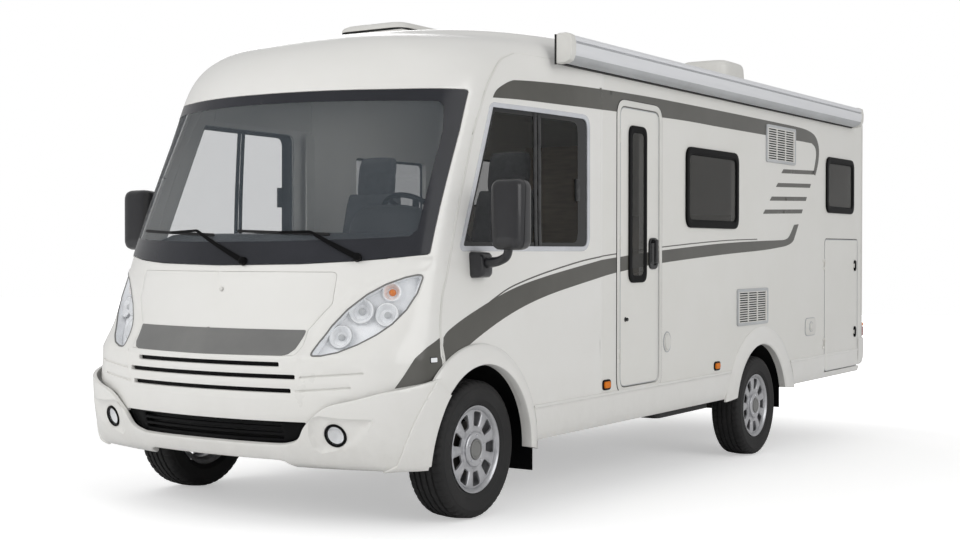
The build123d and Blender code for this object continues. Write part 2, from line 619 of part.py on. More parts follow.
def wheel(lip_x, y):
    """Tyre and rim of a left wheel, its axle along X at height TYRE_RADIUS."""
    centre = lip_x - RIM_WIDTH / 2
    half_tyre, seat = TYRE_WIDTH / 2, RIM_BARREL_RADIUS
    bead = RIM_WIDTH / 2 - 10
    half = [(bead, seat), (bead, RIM_LIP_RADIUS + 2), (half_tyre - 8, 250), (half_tyre, 292),
            (half_tyre - 6, 334), (half_tyre - 26, 357), (half_tyre - 52, TYRE_RADIUS)]
    hollow = [(half_tyre - 45, 340), (half_tyre - 20, 292), (bead - 24, seat)]
    section = ([(x, r) for x, r in half] + [(-x, r) for x, r in reversed(half)]
               + [(-x, r) for x, r in reversed(hollow)] + hollow)
    spin = Axis((0, 0, 0), (1, 0, 0))
    sweep = revolve(Plane.XY * outline(section), spin)
    lip = RIM_WIDTH / 2
    barrel = [(-lip, 197), (-lip, RIM_LIP_RADIUS), (-bead, RIM_LIP_RADIUS), (-bead, seat), (bead, seat),
              (bead, RIM_LIP_RADIUS), (lip, RIM_LIP_RADIUS), (lip, 197)]
    rim = revolve(Plane.XY * outline(barrel), spin)
    rim += rod_x(50, 66, 0, 0, 198)
    for i in range(9):
        window = Pos(58, 0, 0) * Rot(40 * i, 0, 0) * Pos(0, 0, 148) * Box(30, 58, 62)
        rim -= window
    rim += rod_x(45, 80, 0, 0, 78) + rod_x(79, 88, 0, 0, 42)
    rim -= rod_x(40, 74, 0, 0, HUB_BORE)
    place = Pos(centre, y, TYRE_RADIUS)
    return place * sweep, place * rim


def build_wheels():
    nodes = {}
    for end, lip_x, y in (("front", FRONT_LIP_X, 0), ("rear", REAR_LIP_X, WHEELBASE)):
        tyre, rim = wheel(lip_x, y)
        for side, turn in (("left", lambda s: s), ("right", other_side)):
            nodes["tyre_" + end + "_" + side] = turn(tyre)
            nodes["rim_" + end + "_" + side] = turn(rim)
    return nodes


def build_axles():
    z, x = TYRE_RADIUS, STEER_PIN_X
    spindle = HUB_BORE - PIN_PLAY
    rim_x = FRONT_LIP_X - RIM_WIDTH / 2
    upright = box(x - 24, x + 24, -32, 32, z - KNUCKLE_HALF, z + KNUCKLE_HALF)
    upright += rod_x(x + 20, rim_x + 10, 0, z, 50) + rod_x(rim_x + 10, rim_x + 28, 0, z, 140)
    upright += rod_x(rim_x + 28, rim_x + 73, 0, z, spindle)
    upright += box(x - 14, x + 14, 30, 120, z - 80, z - 56)
    upright -= rod_z(x, 0, z - 100, z + 100, STEER_PIN_RADIUS + PIN_PLAY)

    low, high = z - KNUCKLE_HALF - GAP, z + KNUCKLE_HALF + GAP
    frame = rod_z(x, 0, low - 10, high + 10, STEER_PIN_RADIUS)
    frame += along_z([(x + 26, -30), (x + 26, 30), (x - 60, 40), (460, 120), (460, -120), (x - 60, -40)],
                     low - 34, low)
    frame += rod_z(x, 0, high, high + 30, STRUT_RADIUS) + rod_z(x, 0, high + 29, 1000, STRUT_RADIUS)
    frame = both_sides(frame)
    frame += box(-462, 462, -120, 120, low - 34, low)
    frame += both_sides(box(RAIL_X[0], RAIL_X[1], -60, 60, low - 20, 640))

    rear_x = REAR_LIP_X - RIM_WIDTH / 2
    axle = rod_x(-rear_x + 60, rear_x - 60, WHEELBASE, z, 42)
    hub = rod_x(rear_x - 61, rear_x + 28, WHEELBASE, z, 130) + rod_x(rear_x + 27, rear_x + 73, WHEELBASE, z, spindle)
    seat = box(RAIL_X[0], RAIL_X[1], WHEELBASE - 70, WHEELBASE + 70, z + 20, 640)
    leaf = along_x([(-560, 520), (-300, 452), (0, 430), (300, 452), (560, 520), (560, 540), (300, 474),
                    (0, 454), (-300, 474), (-560, 540)], RAIL_X[0] + 5, RAIL_X[1] - 5)
    hanger = box(RAIL_X[0] + 5, RAIL_X[1] - 5, -570, -530, 500, 700) + box(
        RAIL_X[0] + 5, RAIL_X[1] - 5, 530, 570, 500, 700)
    axle += both_sides(hub + seat + Pos(0, WHEELBASE, 0) * (leaf + hanger))
    return upright, frame, axle


def build_chassis():
    top = FLOOR_TOP - FLOOR_THICK
    rail = box(RAIL_X[0], RAIL_X[1], RAIL_FRONT, RAIL_REAR, RAIL_FOOT, top)
    frame = both_sides(rail)
    for y in (RAIL_FRONT + 20, 1300, 2600, 4700, RAIL_REAR - 80):
        frame += box(-RAIL_X[1] + 6, RAIL_X[1] - 6, y, y + 60, RAIL_FOOT + 20, top - 6)
    frame += box(-40, 40, RAIL_REAR - 80, 6105, 330, 400) + box(-40, 40, RAIL_REAR - 80, RAIL_REAR - 20, 330, 500)
    for y in JACK_PADS_Y:
        frame += both_sides(box(RAIL_X[0] + 5, RAIL_X[1] - 5, y - 40, y + 40, JACK_PAD_FOOT, RAIL_FOOT + 1))
    frame -= rod_y(0, RECEIVER_FRONT, 6200, RECEIVER_Z, RECEIVER_RADIUS)
    engine = box(-430, 430, -690, -345, top, 930) + box(-RAIL_X[0], RAIL_X[0], -560, -345, 330, top)
    tank = fillet(box(480, HALF_WIDTH - 70, 2150, 2950, 310, top).edges().filter_by(Axis.Z), 40)
    fresh = fillet(box(110 - HALF_WIDTH, -480, 1500, 2300, 380, top).edges().filter_by(Axis.Z), 40)
    return {"chassis_frame": frame, "engine_block": engine, "water_tanks": tank + fresh}


# ---------------------------------------------------------------- inside
def build_inside():
    inner = HALF_WIDTH - WALL
    houses = both_sides(rod_x(HOUSE_INNER_X - 8, OUTSIDE, ARCH_FRONT_Y, ARCH_FRONT_Z, HOUSE_FRONT_RADIUS + 8)
                        + rod_x(HOUSE_INNER_X - 8, OUTSIDE, HOUSE_SWEEP_Y, ARCH_FRONT_Z, HOUSE_FRONT_RADIUS + 8))
    rear_houses = both_sides(rod_x(HOUSE_REAR_INNER_X - 12, OUTSIDE, ARCH_REAR_Y, ARCH_REAR_Z, HOUSE_REAR_RADIUS + 12))
    dash = along_x([(-600, 1290), (-560, 1335), (-140, 1480), (0, 1490), (60, 1450), (80, 1330), (20, 1180),
                    (-330, 1000), (-600, 1120)], 130 - HALF_WIDTH, HALF_WIDTH - 130)
    dash += box(-HOUSE_INNER_X + HOUSE_THICK, HOUSE_INNER_X - HOUSE_THICK, -320, -300, FLOOR_TOP, 1030)
    dash = (dash - houses) & nose_solid(LAMP_DEPTH + 8)
    column = bar((SEAT_X, 20, 1380), (SEAT_X, 215, 1560), 26) - dash
    wheel_place = Pos(SEAT_X, 215, 1560) * Rot(-45, 0, 0)
    ring = wheel_place * Torus(188, 16)
    spokes = wheel_place * (Box(366, 34, 14) + Cylinder(46, 34))
    seat = box(-190, 190, 700, 1050, FLOOR_TOP, 1110) + box(-250, 250, 560, 1080, 1100, 1230)
    seat += along_x([(1000, 1210), (1120, 1210), (1235, 1770), (1150, 1790)], -230, 230)
    seat += along_x([(1160, 1780), (1230, 1770), (1262, 1975), (1190, 1985)], -130, 130)
    seats = Pos(SEAT_X, 0, 0) * seat + Pos(-SEAT_X, 0, 0) * seat
    kitchen = box(500, inner - 6, 2120, 3190, FLOOR_TOP, 1540)
    wardrobe = box(-inner + 6, -480, 4000, 4400, FLOOR_TOP, 2240)
    bench = box(-inner + 6, -480, 1700, 3000, FLOOR_TOP, 1120) + box(-inner + 6, -900, 1700, 3000, 1100, 1480)
    bed = box(-inner + 6, inner - 6, 4960, 4984, FLOOR_TOP, 1510)
    bed += box(-inner + 6, inner - 6, 4960, REAR_FACE - WALL, 1500, 1524)
    bed += box(-inner + 20, inner - 20, 4970, REAR_FACE - WALL - 10, 1524, 1690)
    furniture = kitchen + wardrobe + bench + bed - rear_houses
    return {"dashboard": dash, "steering_wheel": ring + spokes + column,
            "cab_seats": seats, "furniture": furniture}


# ---------------------------------------------------------------- outside fittings
def build_fittings():
    awning = along_y([(HALF_WIDTH + out, z) for out, z in AWNING_SECTION], AWNING_FRONT, AWNING_REAR)
    x0, x1, z0, z1 = HALF_WIDTH + MIRROR_OUT[0], HALF_WIDTH + MIRROR_OUT[1], *MIRROR_Z
    housing = fillet(box(x0, x1, -150, -20, z0, z1).edges(), 34)
    mirror = housing + bar(((x0 + x1) / 2, -85, z0 + 30), (HALF_WIDTH + 15, -40, z0 - 60), 22)
    mirror += box(HALF_WIDTH - 90, HALF_WIDTH + 30, -100, 30, z0 - 142, z0 - 14)
    mirror -= nose_solid()
    strips = Part()
    for pivot, elbow, tip, heel in WIPERS:
        strips += front_prism(strip(pivot, elbow, 9)) + front_prism(strip(tip, heel, 11))
        strips += rod_y(pivot[0], -1200, 0, pivot[1], 20)
    wipers = strips & (Part() + nose_solid(-16.0) - nose_solid())
    rear_lamps = both_sides(box(HALF_WIDTH - 155, HALF_WIDTH - 2, REAR_FACE, REAR_FACE + 18, 648, 772))
    bumper = box(-HALF_WIDTH, HALF_WIDTH, REAR_FACE, REAR_BUMPER_FACE, 410, 636)
    bumper = fillet(bumper.edges().filter_by(Axis.Z).sort_by(Axis.Y)[-2:], 45)
    bumper -= box(-HALF_WIDTH + 14, HALF_WIDTH - 14, REAR_FACE - 1, REAR_BUMPER_FACE - 14, 400, 622)
    markers = Part()
    for y, z in MARKERS:
        markers += box(HALF_WIDTH, HALF_WIDTH + 12, y - 42, y + 42, z - 24, z + 24)
    markers = both_sides(markers)
    return {"awning_cassette": awning, "mirrors": both_sides(mirror), "wipers": wipers,
            "rear_lamps": rear_lamps, "rear_bumper": bumper, "side_markers": markers}


# ---------------------------------------------------------------- put together
def main():
    nodes = {}
    body = build_nose()
    body.update(build_bumper())
    doors, hinges_left, hinges_right = build_doors()
    body.update(doors)
    body.update(build_body(hinges_left, hinges_right))
    body["roof_hatch_frames"] = Part()
    for name in HATCHES:
        frame, body[name + "_hatch_lid"] = build_hatch(name)
        body["roof_hatch_frames"] += frame
    body.update(build_houses())
    body.update(build_chassis())
    body.update(build_inside())
    body.update(build_fittings())
    for name, shape in body.items():
        nodes[name] = stand(shape)
    upright, front_frame, axle = build_axles()
    chassis_room = stand(box(-600, 600, -900, 6000, RAIL_FOOT, 900))
    house_room = stand(box(-OUTSIDE, OUTSIDE, -600, 600, ARCH_FRONT_Z + HOUSE_FRONT_RADIUS - 0.02, 1200))
    nodes["front_subframe"] = settle(front_frame) - chassis_room - house_room
    nodes["rear_axle"] = settle(axle) - chassis_room
    nodes["knuckle_left"] = settle(upright)
    nodes["knuckle_right"] = settle(other_side(upright))
    for name, shape in build_wheels().items():
        nodes[name] = settle(shape)
    os.makedirs("parts", exist_ok=True)
    for name, shape in nodes.items():
        solids = shape.solids()
        export_step(solids[0] if len(solids) == 1 else Compound(children=list(solids)), "parts/" + name + ".step")


main()
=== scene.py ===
import math

import bmesh
import bpy
import numpy as np
from mathutils import Matrix, Vector
from mathutils.geometry import delaunay_2d_cdt
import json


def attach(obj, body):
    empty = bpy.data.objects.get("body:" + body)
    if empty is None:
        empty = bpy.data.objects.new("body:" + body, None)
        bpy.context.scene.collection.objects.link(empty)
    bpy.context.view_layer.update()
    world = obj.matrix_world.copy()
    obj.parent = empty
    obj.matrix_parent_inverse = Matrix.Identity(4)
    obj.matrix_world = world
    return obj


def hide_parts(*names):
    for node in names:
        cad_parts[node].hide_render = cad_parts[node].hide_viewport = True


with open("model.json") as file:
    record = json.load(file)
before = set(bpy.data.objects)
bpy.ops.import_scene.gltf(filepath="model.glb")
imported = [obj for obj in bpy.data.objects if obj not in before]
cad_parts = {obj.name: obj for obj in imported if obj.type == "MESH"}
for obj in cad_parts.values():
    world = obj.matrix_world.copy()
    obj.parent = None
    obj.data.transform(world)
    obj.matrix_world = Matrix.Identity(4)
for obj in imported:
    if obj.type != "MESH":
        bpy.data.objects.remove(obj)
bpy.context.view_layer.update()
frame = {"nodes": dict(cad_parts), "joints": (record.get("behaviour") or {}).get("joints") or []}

# Where the vehicle stands. The body is drawn level, with y = 0 at the front axle and z = 0 on the
# ground under it, and tips nose down about that line; the door's hinge and the steering pins in the
# record say by how much, and where.
joints = {joint["name"]: joint for joint in frame["joints"]}
rake = math.asin(joints["entry_door_hinge"]["axis"][1])
front_axle_y = joints["steer_left"]["pos_m"][1]
body_to_world = Matrix.Translation((0, front_axle_y, 0)) @ Matrix.Rotation(rake, 4, "X")

# Camera, in the body's own terms: seven metres off the left front corner, at chest height, with a
# lens a little longer than normal.
camera_place = Vector((5.0930, -6.2274, 1.3938))
camera_turn = 32.872                    # degrees to the side of the middle line
camera_pitch = -0.790
camera_roll = 0.0354
camera_data = bpy.data.cameras.new("camera")
camera_data.sensor_width = 36.0
camera_data.lens = 53.91
camera_data.clip_end = 200.0
camera = bpy.data.objects.new("camera", camera_data)
bpy.context.scene.collection.objects.link(camera)
aim = (Matrix.Rotation(math.radians(camera_turn), 4, "Z")
       @ Matrix.Rotation(math.radians(90 + camera_pitch), 4, "X")
       @ Matrix.Rotation(math.radians(camera_roll), 4, "Z"))
camera.matrix_world = body_to_world @ Matrix.Translation(camera_place) @ aim
bpy.context.scene.camera = camera
bpy.context.scene.view_settings.view_transform = "Standard"


# Studio: a pale floor and plain white surroundings, with broad lamps before the right front corner,
# along the left side and behind, and a small one in the cab. The world looks white to the eye and
# through glass, but lights gently; the floor glows to the eye alone, more so further out.
def colour(red, green, blue, alpha=1.0):
    """A display colour, 0 to 255, as the linear value that a socket takes."""
    def linear(value):
        value /= 255
        return value / 12.92 if value <= 0.04045 else ((value + 0.055) / 1.055) ** 2.4
    return (linear(red), linear(green), linear(blue), alpha)


def add(tree, kind, settings=None, **inputs):
    """A node with its inputs given by name, or by number as _0 and _1. A socket is linked to the
    input, and a value is set in it."""
    node = tree.nodes.new("ShaderNode" + kind)
    for name, value in (settings or {}).items():
        setattr(node, name, value)
    for name, value in inputs.items():
        socket = node.inputs[int(name[1:]) if name[0] == "_" else name.replace("_", " ")]
        if isinstance(value, bpy.types.NodeSocket):
            tree.links.new(value, socket)
        else:
            socket.default_value = value
    return node


world = bpy.data.worlds.new("studio")
bpy.context.scene.world = world
world.use_nodes = True
path = add(world.node_tree, "LightPath").outputs
seen = add(world.node_tree, "Math", {"operation": "MAXIMUM"}, _0=path["Is Camera Ray"],
           _1=path["Is Transmission Ray"])
level = add(world.node_tree, "MapRange", Value=seen.outputs[0], To_Min=0.5, To_Max=1.0)
backdrop = world.node_tree.nodes["Background"]
backdrop.inputs["Color"].default_value = (1, 1, 1, 1)
world.node_tree.links.new(level.outputs["Result"], backdrop.inputs["Strength"])

floor_bm = bmesh.new()
bmesh.ops.create_grid(floor_bm, x_segments=2, y_segments=2, size=60)        # metres each way
floor_mesh = bpy.data.meshes.new("studio_floor")
floor_bm.to_mesh(floor_mesh)
studio_floor = bpy.data.objects.new("studio_floor", floor_mesh)
bpy.context.scene.collection.objects.link(studio_floor)
floor_finish = bpy.data.materials.new("studio_floor")
floor_finish.use_nodes = True
floor_tree = floor_finish.node_tree
floor_shader = floor_tree.nodes["Principled BSDF"]
for socket, value in (("Base Color", (0.9, 0.9, 0.9, 1)), ("Roughness", 0.7), ("Specular IOR Level", 0.1),
                      ("Emission Color", (1, 1, 1, 1))):
    floor_shader.inputs[socket].default_value = value
floor_place = add(floor_tree, "TexCoord").outputs["Object"]
floor_reach = add(floor_tree, "VectorMath", {"operation": "LENGTH"}, _0=floor_place).outputs["Value"]
floor_fade = add(floor_tree, "MapRange", Value=floor_reach, From_Min=4.0, From_Max=9.0, To_Min=0.42,
                 To_Max=1.2)
to_the_eye = add(floor_tree, "LightPath").outputs["Is Camera Ray"]
floor_glow = add(floor_tree, "Math", {"operation": "MULTIPLY"}, _0=to_the_eye,
                 _1=floor_fade.outputs["Result"])
floor_tree.links.new(floor_glow.outputs[0], floor_shader.inputs["Emission Strength"])
floor_mesh.materials.append(floor_finish)


def lamp(name, place, aim_at, size, power, gloss=True):
    """A square lamp in metres and watts; gloss says whether shiny faces mirror it."""
    data = bpy.data.lights.new(name, "AREA")
    data.shape = "SQUARE"
    data.size = size
    data.energy = power
    holder = bpy.data.objects.new(name, data)
    holder.visible_glossy = gloss
    bpy.context.scene.collection.objects.link(holder)
    run = Vector(aim_at) - Vector(place)
    holder.matrix_world = Matrix.Translation(place) @ run.to_track_quat("-Z", "Y").to_matrix().to_4x4()


lamp("front_lamp", (-4, -13, 6), (0, -2, 1), 9, 645, False)
lamp("side_lamp", (13, -3, 6), (1, 0, 1), 9, 512)
lamp("rear_lamp", (-9, 11, 5.5), (0, 1, 1), 8, 340)
lamp("cab_lamp", (0, -1.2, 2.45), (0, -0.9, 1.0), 1.4, 4, False)


# Nose moulding: one fibreglass shell from the slots below the service flap over the forehead to the
# cab roof, bonded to the cab. Level sections give its form: a wide arc across the nose, a tighter arc
# at each corner and a long arc down each side. The windscreen, lamps and flap sit in holes in it.
def new_group(name, inputs, outputs):
    """A shader node group: its tree, the sockets that come into it, and those that it puts out."""
    tree = bpy.data.node_groups.new(name, "ShaderNodeTree")
    for way, sockets in (("INPUT", inputs), ("OUTPUT", outputs)):
        for socket, kind in sockets.items():
            tree.interface.new_socket(name=socket, in_out=way, socket_type="NodeSocket" + kind)
    return tree, tree.nodes.new("NodeGroupInput").outputs, tree.nodes.new("NodeGroupOutput").inputs


# a tone that wanders between two colours in soft clouds
tone_group, given, out = new_group("wandering_tone", {"Vector": "Vector", "Scale": "Float", "Dark": "Color",
                                                      "Light": "Color"},
                                   {"Color": "Color", "Cloud": "Float"})
cloud = add(tone_group, "TexNoise", Vector=given["Vector"], Scale=given["Scale"], Detail=5.0,
            Roughness=0.62)
share = add(tone_group, "MapRange", Value=cloud.outputs["Fac"], From_Min=0.32, From_Max=0.68)
mix = add(tone_group, "Mix", {"data_type": "RGBA"}, Factor=share.outputs["Result"], A=given["Dark"],
          B=given["Light"])
tone_group.links.new(mix.outputs["Result"], out["Color"])
tone_group.links.new(cloud.outputs["Fac"], out["Cloud"])
# road dust, in spots that thin out with height
dust_group, given, out = new_group("road_dust", {"Vector": "Vector", "Color": "Color", "Dust": "Color"},
                                   {"Color": "Color"})
height = add(dust_group, "SeparateXYZ", Vector=given["Vector"]).outputs["Z"]
low = add(dust_group, "MapRange", Value=height, From_Min=0.32, From_Max=0.75, To_Min=0.4, To_Max=0.0)
spots = add(dust_group, "TexNoise", Vector=given["Vector"], Scale=9.0, Detail=6.0, Roughness=0.7)
share = add(dust_group, "Math", {"operation": "MULTIPLY"}, _0=low.outputs["Result"],
            _1=spots.outputs["Fac"])
mix = add(dust_group, "Mix", {"data_type": "RGBA"}, Factor=share.outputs[0], A=given["Color"],
          B=given["Dust"])
dust_group.links.new(mix.outputs["Result"], out["Color"])
# the grain of a moulded, cast or woven face
grain_group, given, out = new_group("surface_grain", {"Vector": "Vector", "Scale": "Float",
                                                      "Strength": "Float"},
                                    {"Normal": "Vector"})
pores = add(grain_group, "TexNoise", Vector=given["Vector"], Scale=given["Scale"], Detail=3.0)
bump = add(grain_group, "Bump", Strength=given["Strength"], Distance=0.001, Height=pores.outputs["Fac"])
grain_group.links.new(bump.outputs["Normal"], out["Normal"])


def finish_of(name, dark, light, rough, scale=2.0, grain=0.0, grain_scale=400.0, stretch=(1, 1, 1),
              dust=None, metallic=0.0, coat=0.0, specular=0.5):
    """A finish whose tone and gloss wander, with a grain in its surface, and road dust low down."""
    material = bpy.data.materials.new(name)
    material.use_nodes = True
    tree = material.node_tree
    shader = tree.nodes["Principled BSDF"]
    for socket, value in (("Metallic", metallic), ("Coat Weight", coat), ("Coat Roughness", 0.06),
                          ("Specular IOR Level", specular)):
        shader.inputs[socket].default_value = value
    place = add(tree, "TexCoord").outputs["Object"]
    drawn = add(tree, "Mapping", Vector=place, Scale=stretch).outputs["Vector"]
    tone = add(tree, "Group", {"node_tree": tone_group}, Vector=drawn, Scale=scale, Dark=colour(*dark),
               Light=colour(*light)).outputs
    paint = tone["Color"]
    if dust:
        paint = add(tree, "Group", {"node_tree": dust_group}, Vector=place, Color=paint,
                    Dust=colour(*dust)).outputs["Color"]
    tree.links.new(paint, shader.inputs["Base Color"])
    gloss = add(tree, "MapRange", Value=tone["Cloud"], To_Min=rough * 0.93, To_Max=min(rough * 1.08, 1.0))
    tree.links.new(gloss.outputs["Result"], shader.inputs["Roughness"])
    if grain:
        bump = add(tree, "Group", {"node_tree": grain_group}, Vector=drawn, Scale=grain_scale,
                   Strength=grain)
        tree.links.new(bump.outputs["Normal"], shader.inputs["Normal"])
    return material


shell_paint = finish_of("shell_paint", (230, 229, 225), (233, 232, 229), 0.28, grain=0.02, grain_scale=150,
                        dust=(176, 173, 166), coat=0.4)
MM = 0.001
cab_end = 1250.0
# height, nose y, nose radius in plan, half width at the side seam, seam y, half width at the cab's end
nose_rows = [
    (380, -865, 2400, 1100, -420, 1110),
    (560, -921, 2400, 1100, -420, 1110),
    (870, -950, 2200, 1098, -370, 1110),
    (1003, -870, 1900, 1082, -375, 1110),
    (1317, -795, 1650, 1058, -300, 1110),
    (2154, -480, 1450, 1022, 70, 1110),
    (2310, -410, 1450, 1010, 145, 1110),
    (2390, -350, 1450, 998, 195, 1110),
    (2460, -270, 1500, 970, 265, 1110),
    (2520, -160, 1600, 928, 350, 1092),
    (2570, 0, 1700, 860, 470, 1055),
    (2610, 190, 1700, 840, 600, 990),
    (2640, 480, 1700, 740, 800, 880),
]


class Moulding:
    """A shell given by level sections. A point on it is s, the way round its section from the middle
    line, and t, the way up its middle line, both in millimetres."""

    def __init__(self, rows, end_y, creases=()):
        self.rows = np.array(rows, float)
        self.end_y = end_y
        steps = np.hypot(np.diff(self.rows[:, 0]), np.diff(self.rows[:, 1]))
        self.rise = np.concatenate(([0.0], np.cumsum(steps)))
        slope = np.diff(self.rows, axis=0) / steps[:, None]
        before, after = np.vstack((slope[:1], slope)), np.vstack((slope, slope[-1:]))
        same_way = before * after > 0
        total = np.where(same_way, before + after, 1.0)
        smooth = np.where(same_way, 2 * before * after / total, 0.0)
        self.into, self.out_of = smooth.copy(), smooth.copy()
        for i in (0, len(rows) - 1, *creases):
            self.into[i], self.out_of[i] = before[i], after[i]
        self.table_t = np.linspace(0, self.rise[-1], 800)
        self.table_z = self.row_at(self.table_t)[:, 0]
        self.table_y = self.row_at(self.table_t)[:, 1]

    def row_at(self, t):
        """The section's measures at t, between the given rows on a smooth curve."""
        t = np.clip(np.asarray(t, float), 0, self.rise[-1])
        i = np.clip(np.searchsorted(self.rise, t) - 1, 0, len(self.rise) - 2)
        span = (self.rise[i + 1] - self.rise[i])[..., None]
        w = (t[..., None] - self.rise[i][..., None]) / span
        return ((2 * w ** 3 - 3 * w ** 2 + 1) * self.rows[i] + (w ** 3 - 2 * w ** 2
                                                                + w) * span * self.out_of[i]
                + (3 * w ** 2 - 2 * w ** 3) * self.rows[i + 1]
                + (w ** 3 - w ** 2) * span * self.into[i + 1])

    def arcs(self, t):
        """The three arcs of the section at t: across the nose, round the corner and along the side."""
        z, nose_y, radius, seam_x, seam_y, end_x = np.moveaxis(self.row_at(t), -1, 0)
        widen, run = end_x - seam_x, self.end_y - seam_y
        side = (widen ** 2 + run ** 2) / (2 * widen)
        lean = np.arcsin(run / side)
        ax, ay = seam_x, seam_y - (nose_y + radius)
        corner = (radius ** 2 - ax ** 2 - ay ** 2) / (2 * (-ax * np.cos(lean) + ay * np.sin(lean))
                                                      + 2 * radius)
        cx, cy = seam_x - corner * np.cos(lean), seam_y + corner * np.sin(lean)
        start = np.arctan2(cx, nose_y + radius - cy)
        return z, nose_y, radius, end_x, side, lean, corner, cx, cy, start

    def point(self, s, t):
        """Where s and t lie, as x, y and z."""
        z, nose_y, radius, end_x, side, lean, corner, cx, cy, start = self.arcs(t)
        way, first = np.abs(s), radius * start
        second = first + corner * (np.pi / 2 - lean - start)
        a = way / radius
        b = start + (way - first) / corner
        c = lean - (way - second) / side
        x = np.where(way < first, radius * np.sin(a),
                     np.where(way < second, cx + corner * np.sin(b), end_x - side * (1 - np.cos(c))))
        y = np.where(way < first, nose_y + radius * (1 - np.cos(a)),
                     np.where(way < second, cy - corner * np.cos(b), self.end_y - side * np.sin(c)))
        return np.stack((np.sign(s) * x, y, z), -1)

    def place(self, s, t, depth):
        """The point at that depth under the shell's face."""
        s, t, depth = (np.asarray(v, float) for v in (s, t, depth))
        here = self.point(s, t)
        across = self.point(s + 2, t) - self.point(s - 2, t)
        low, high = np.maximum(t - 2, 0), np.minimum(t + 2, self.rise[-1])
        up = self.point(s, high) - self.point(s, low)
        normal = np.cross(across, up)
        normal /= np.linalg.norm(normal, axis=-1, keepdims=True)
        return here - normal * depth[..., None]

    def t_at(self, z):
        """The way up the middle line to a height."""
        return float(np.interp(z, self.table_z, self.table_t))

    def front(self, x, z):
        """s and t of the point seen from ahead at x and z."""
        t = self.t_at(z)
        _, _, radius, _, _, lean, corner, cx, _, start = (float(v) for v in self.arcs(t))
        if abs(x) < radius * math.sin(start):
            s = radius * math.asin(abs(x) / radius)
        else:
            s = radius * start + corner * (math.asin(min((abs(x) - cx) / corner, math.cos(lean))) - start)
        return math.copysign(s, x), t

    def side(self, y, z):
        """s and t of the point seen from the left at y and z."""
        t = self.t_at(z)
        _, _, radius, _, side, lean, corner, _, cy, start = (float(v) for v in self.arcs(t))
        second = radius * start + corner * (math.pi / 2 - lean - start)
        turn = math.asin(min((self.end_y - y) / side, 1.0))
        if turn <= lean:
            return second + side * (lean - turn), t
        return radius * start + corner * (math.acos(max(min((cy - y) / corner, 1), -1)) - start), t


nose = Moulding(nose_rows, cab_end, creases=(2,))


def rounded(points, radius):
    """A closed outline with each corner turned into an arc. One radius, or one for each point."""
    radii = [radius] * len(points) if isinstance(radius, (int, float)) else radius
    outline = []
    for i, corner in enumerate(points):
        corner = Vector(corner)
        back, ahead = Vector(points[i - 1]) - corner, Vector(points[(i + 1) % len(points)]) - corner
        if radii[i] == 0:
            outline.append(corner)
            continue
        half = back.angle(ahead) / 2
        reach = min(radii[i] / math.tan(half), 0.49 * back.length, 0.49 * ahead.length)
        start, stop = corner + back.normalized() * reach, corner + ahead.normalized() * reach
        for step in range(7):
            w = step / 6
            outline.append(start * (1 - w) ** 2 + corner * 2 * w * (1 - w) + stop * w ** 2)
    return outline


def curved(points, closed=True, steps=6):
    """A smooth line through the points."""
    points = [Vector(p) for p in points]
    count, line = len(points), []
    for i in range(count if closed else count - 1):
        p0 = points[i - 1] if closed or i else points[i]
        p1, p2 = points[i], points[(i + 1) % count]
        p3 = points[(i + 2) % count] if closed or i + 2 < count else p2
        for step in range(steps):
            w = step / steps
            line.append(0.5 * (2 * p1 + (p2 - p0) * w + (2 * p0 - 5 * p1 + 4 * p2 - p3) * w ** 2
                               + (3 * p1 - p0 - 3 * p2 + p3) * w ** 3))
    return line if closed else line + [points[-1]]


def mirrored(half):
    """A closed outline from its half, given from the middle line out and back to it."""
    return [tuple(p) for p in half] + [(-p[0], p[1]) for p in reversed(half) if abs(p[0]) > 1e-6]


def dense(loop, spacing):
    """Points along a closed outline, about the spacing apart, with all its corners kept."""
    points = []
    for i, start in enumerate(loop):
        start, stop = Vector(start[:2]), Vector(loop[(i + 1) % len(loop)][:2])
        count = max(1, round((stop - start).length / spacing))
        points += [start.lerp(stop, k / count) for k in range(count)]
    return points


def inside(points, loop):
    """Which points lie inside a closed loop."""
    hits = np.zeros(len(points), bool)
    for (x0, y0), (x1, y1) in zip(loop, np.roll(loop, -1, 0)):
        cross = (y0 > points[:, 1]) != (y1 > points[:, 1])
        with np.errstate(divide="ignore", invalid="ignore"):
            hits ^= cross & (points[:, 0] < (x1 - x0) * (points[:, 1] - y0) / (y1 - y0) + x0)
    return hits


def near(points, loop, reach):
    """Which points lie within reach of a closed loop."""
    close = np.zeros(len(points), bool)
    for start, stop in zip(loop, np.roll(loop, -1, 0)):
        run = stop - start
        w = np.clip(((points - start) @ run) / max(run @ run, 1e-9), 0, 1)
        close |= np.linalg.norm(points - start - w[:, None] * run, axis=1) < reach
    return close


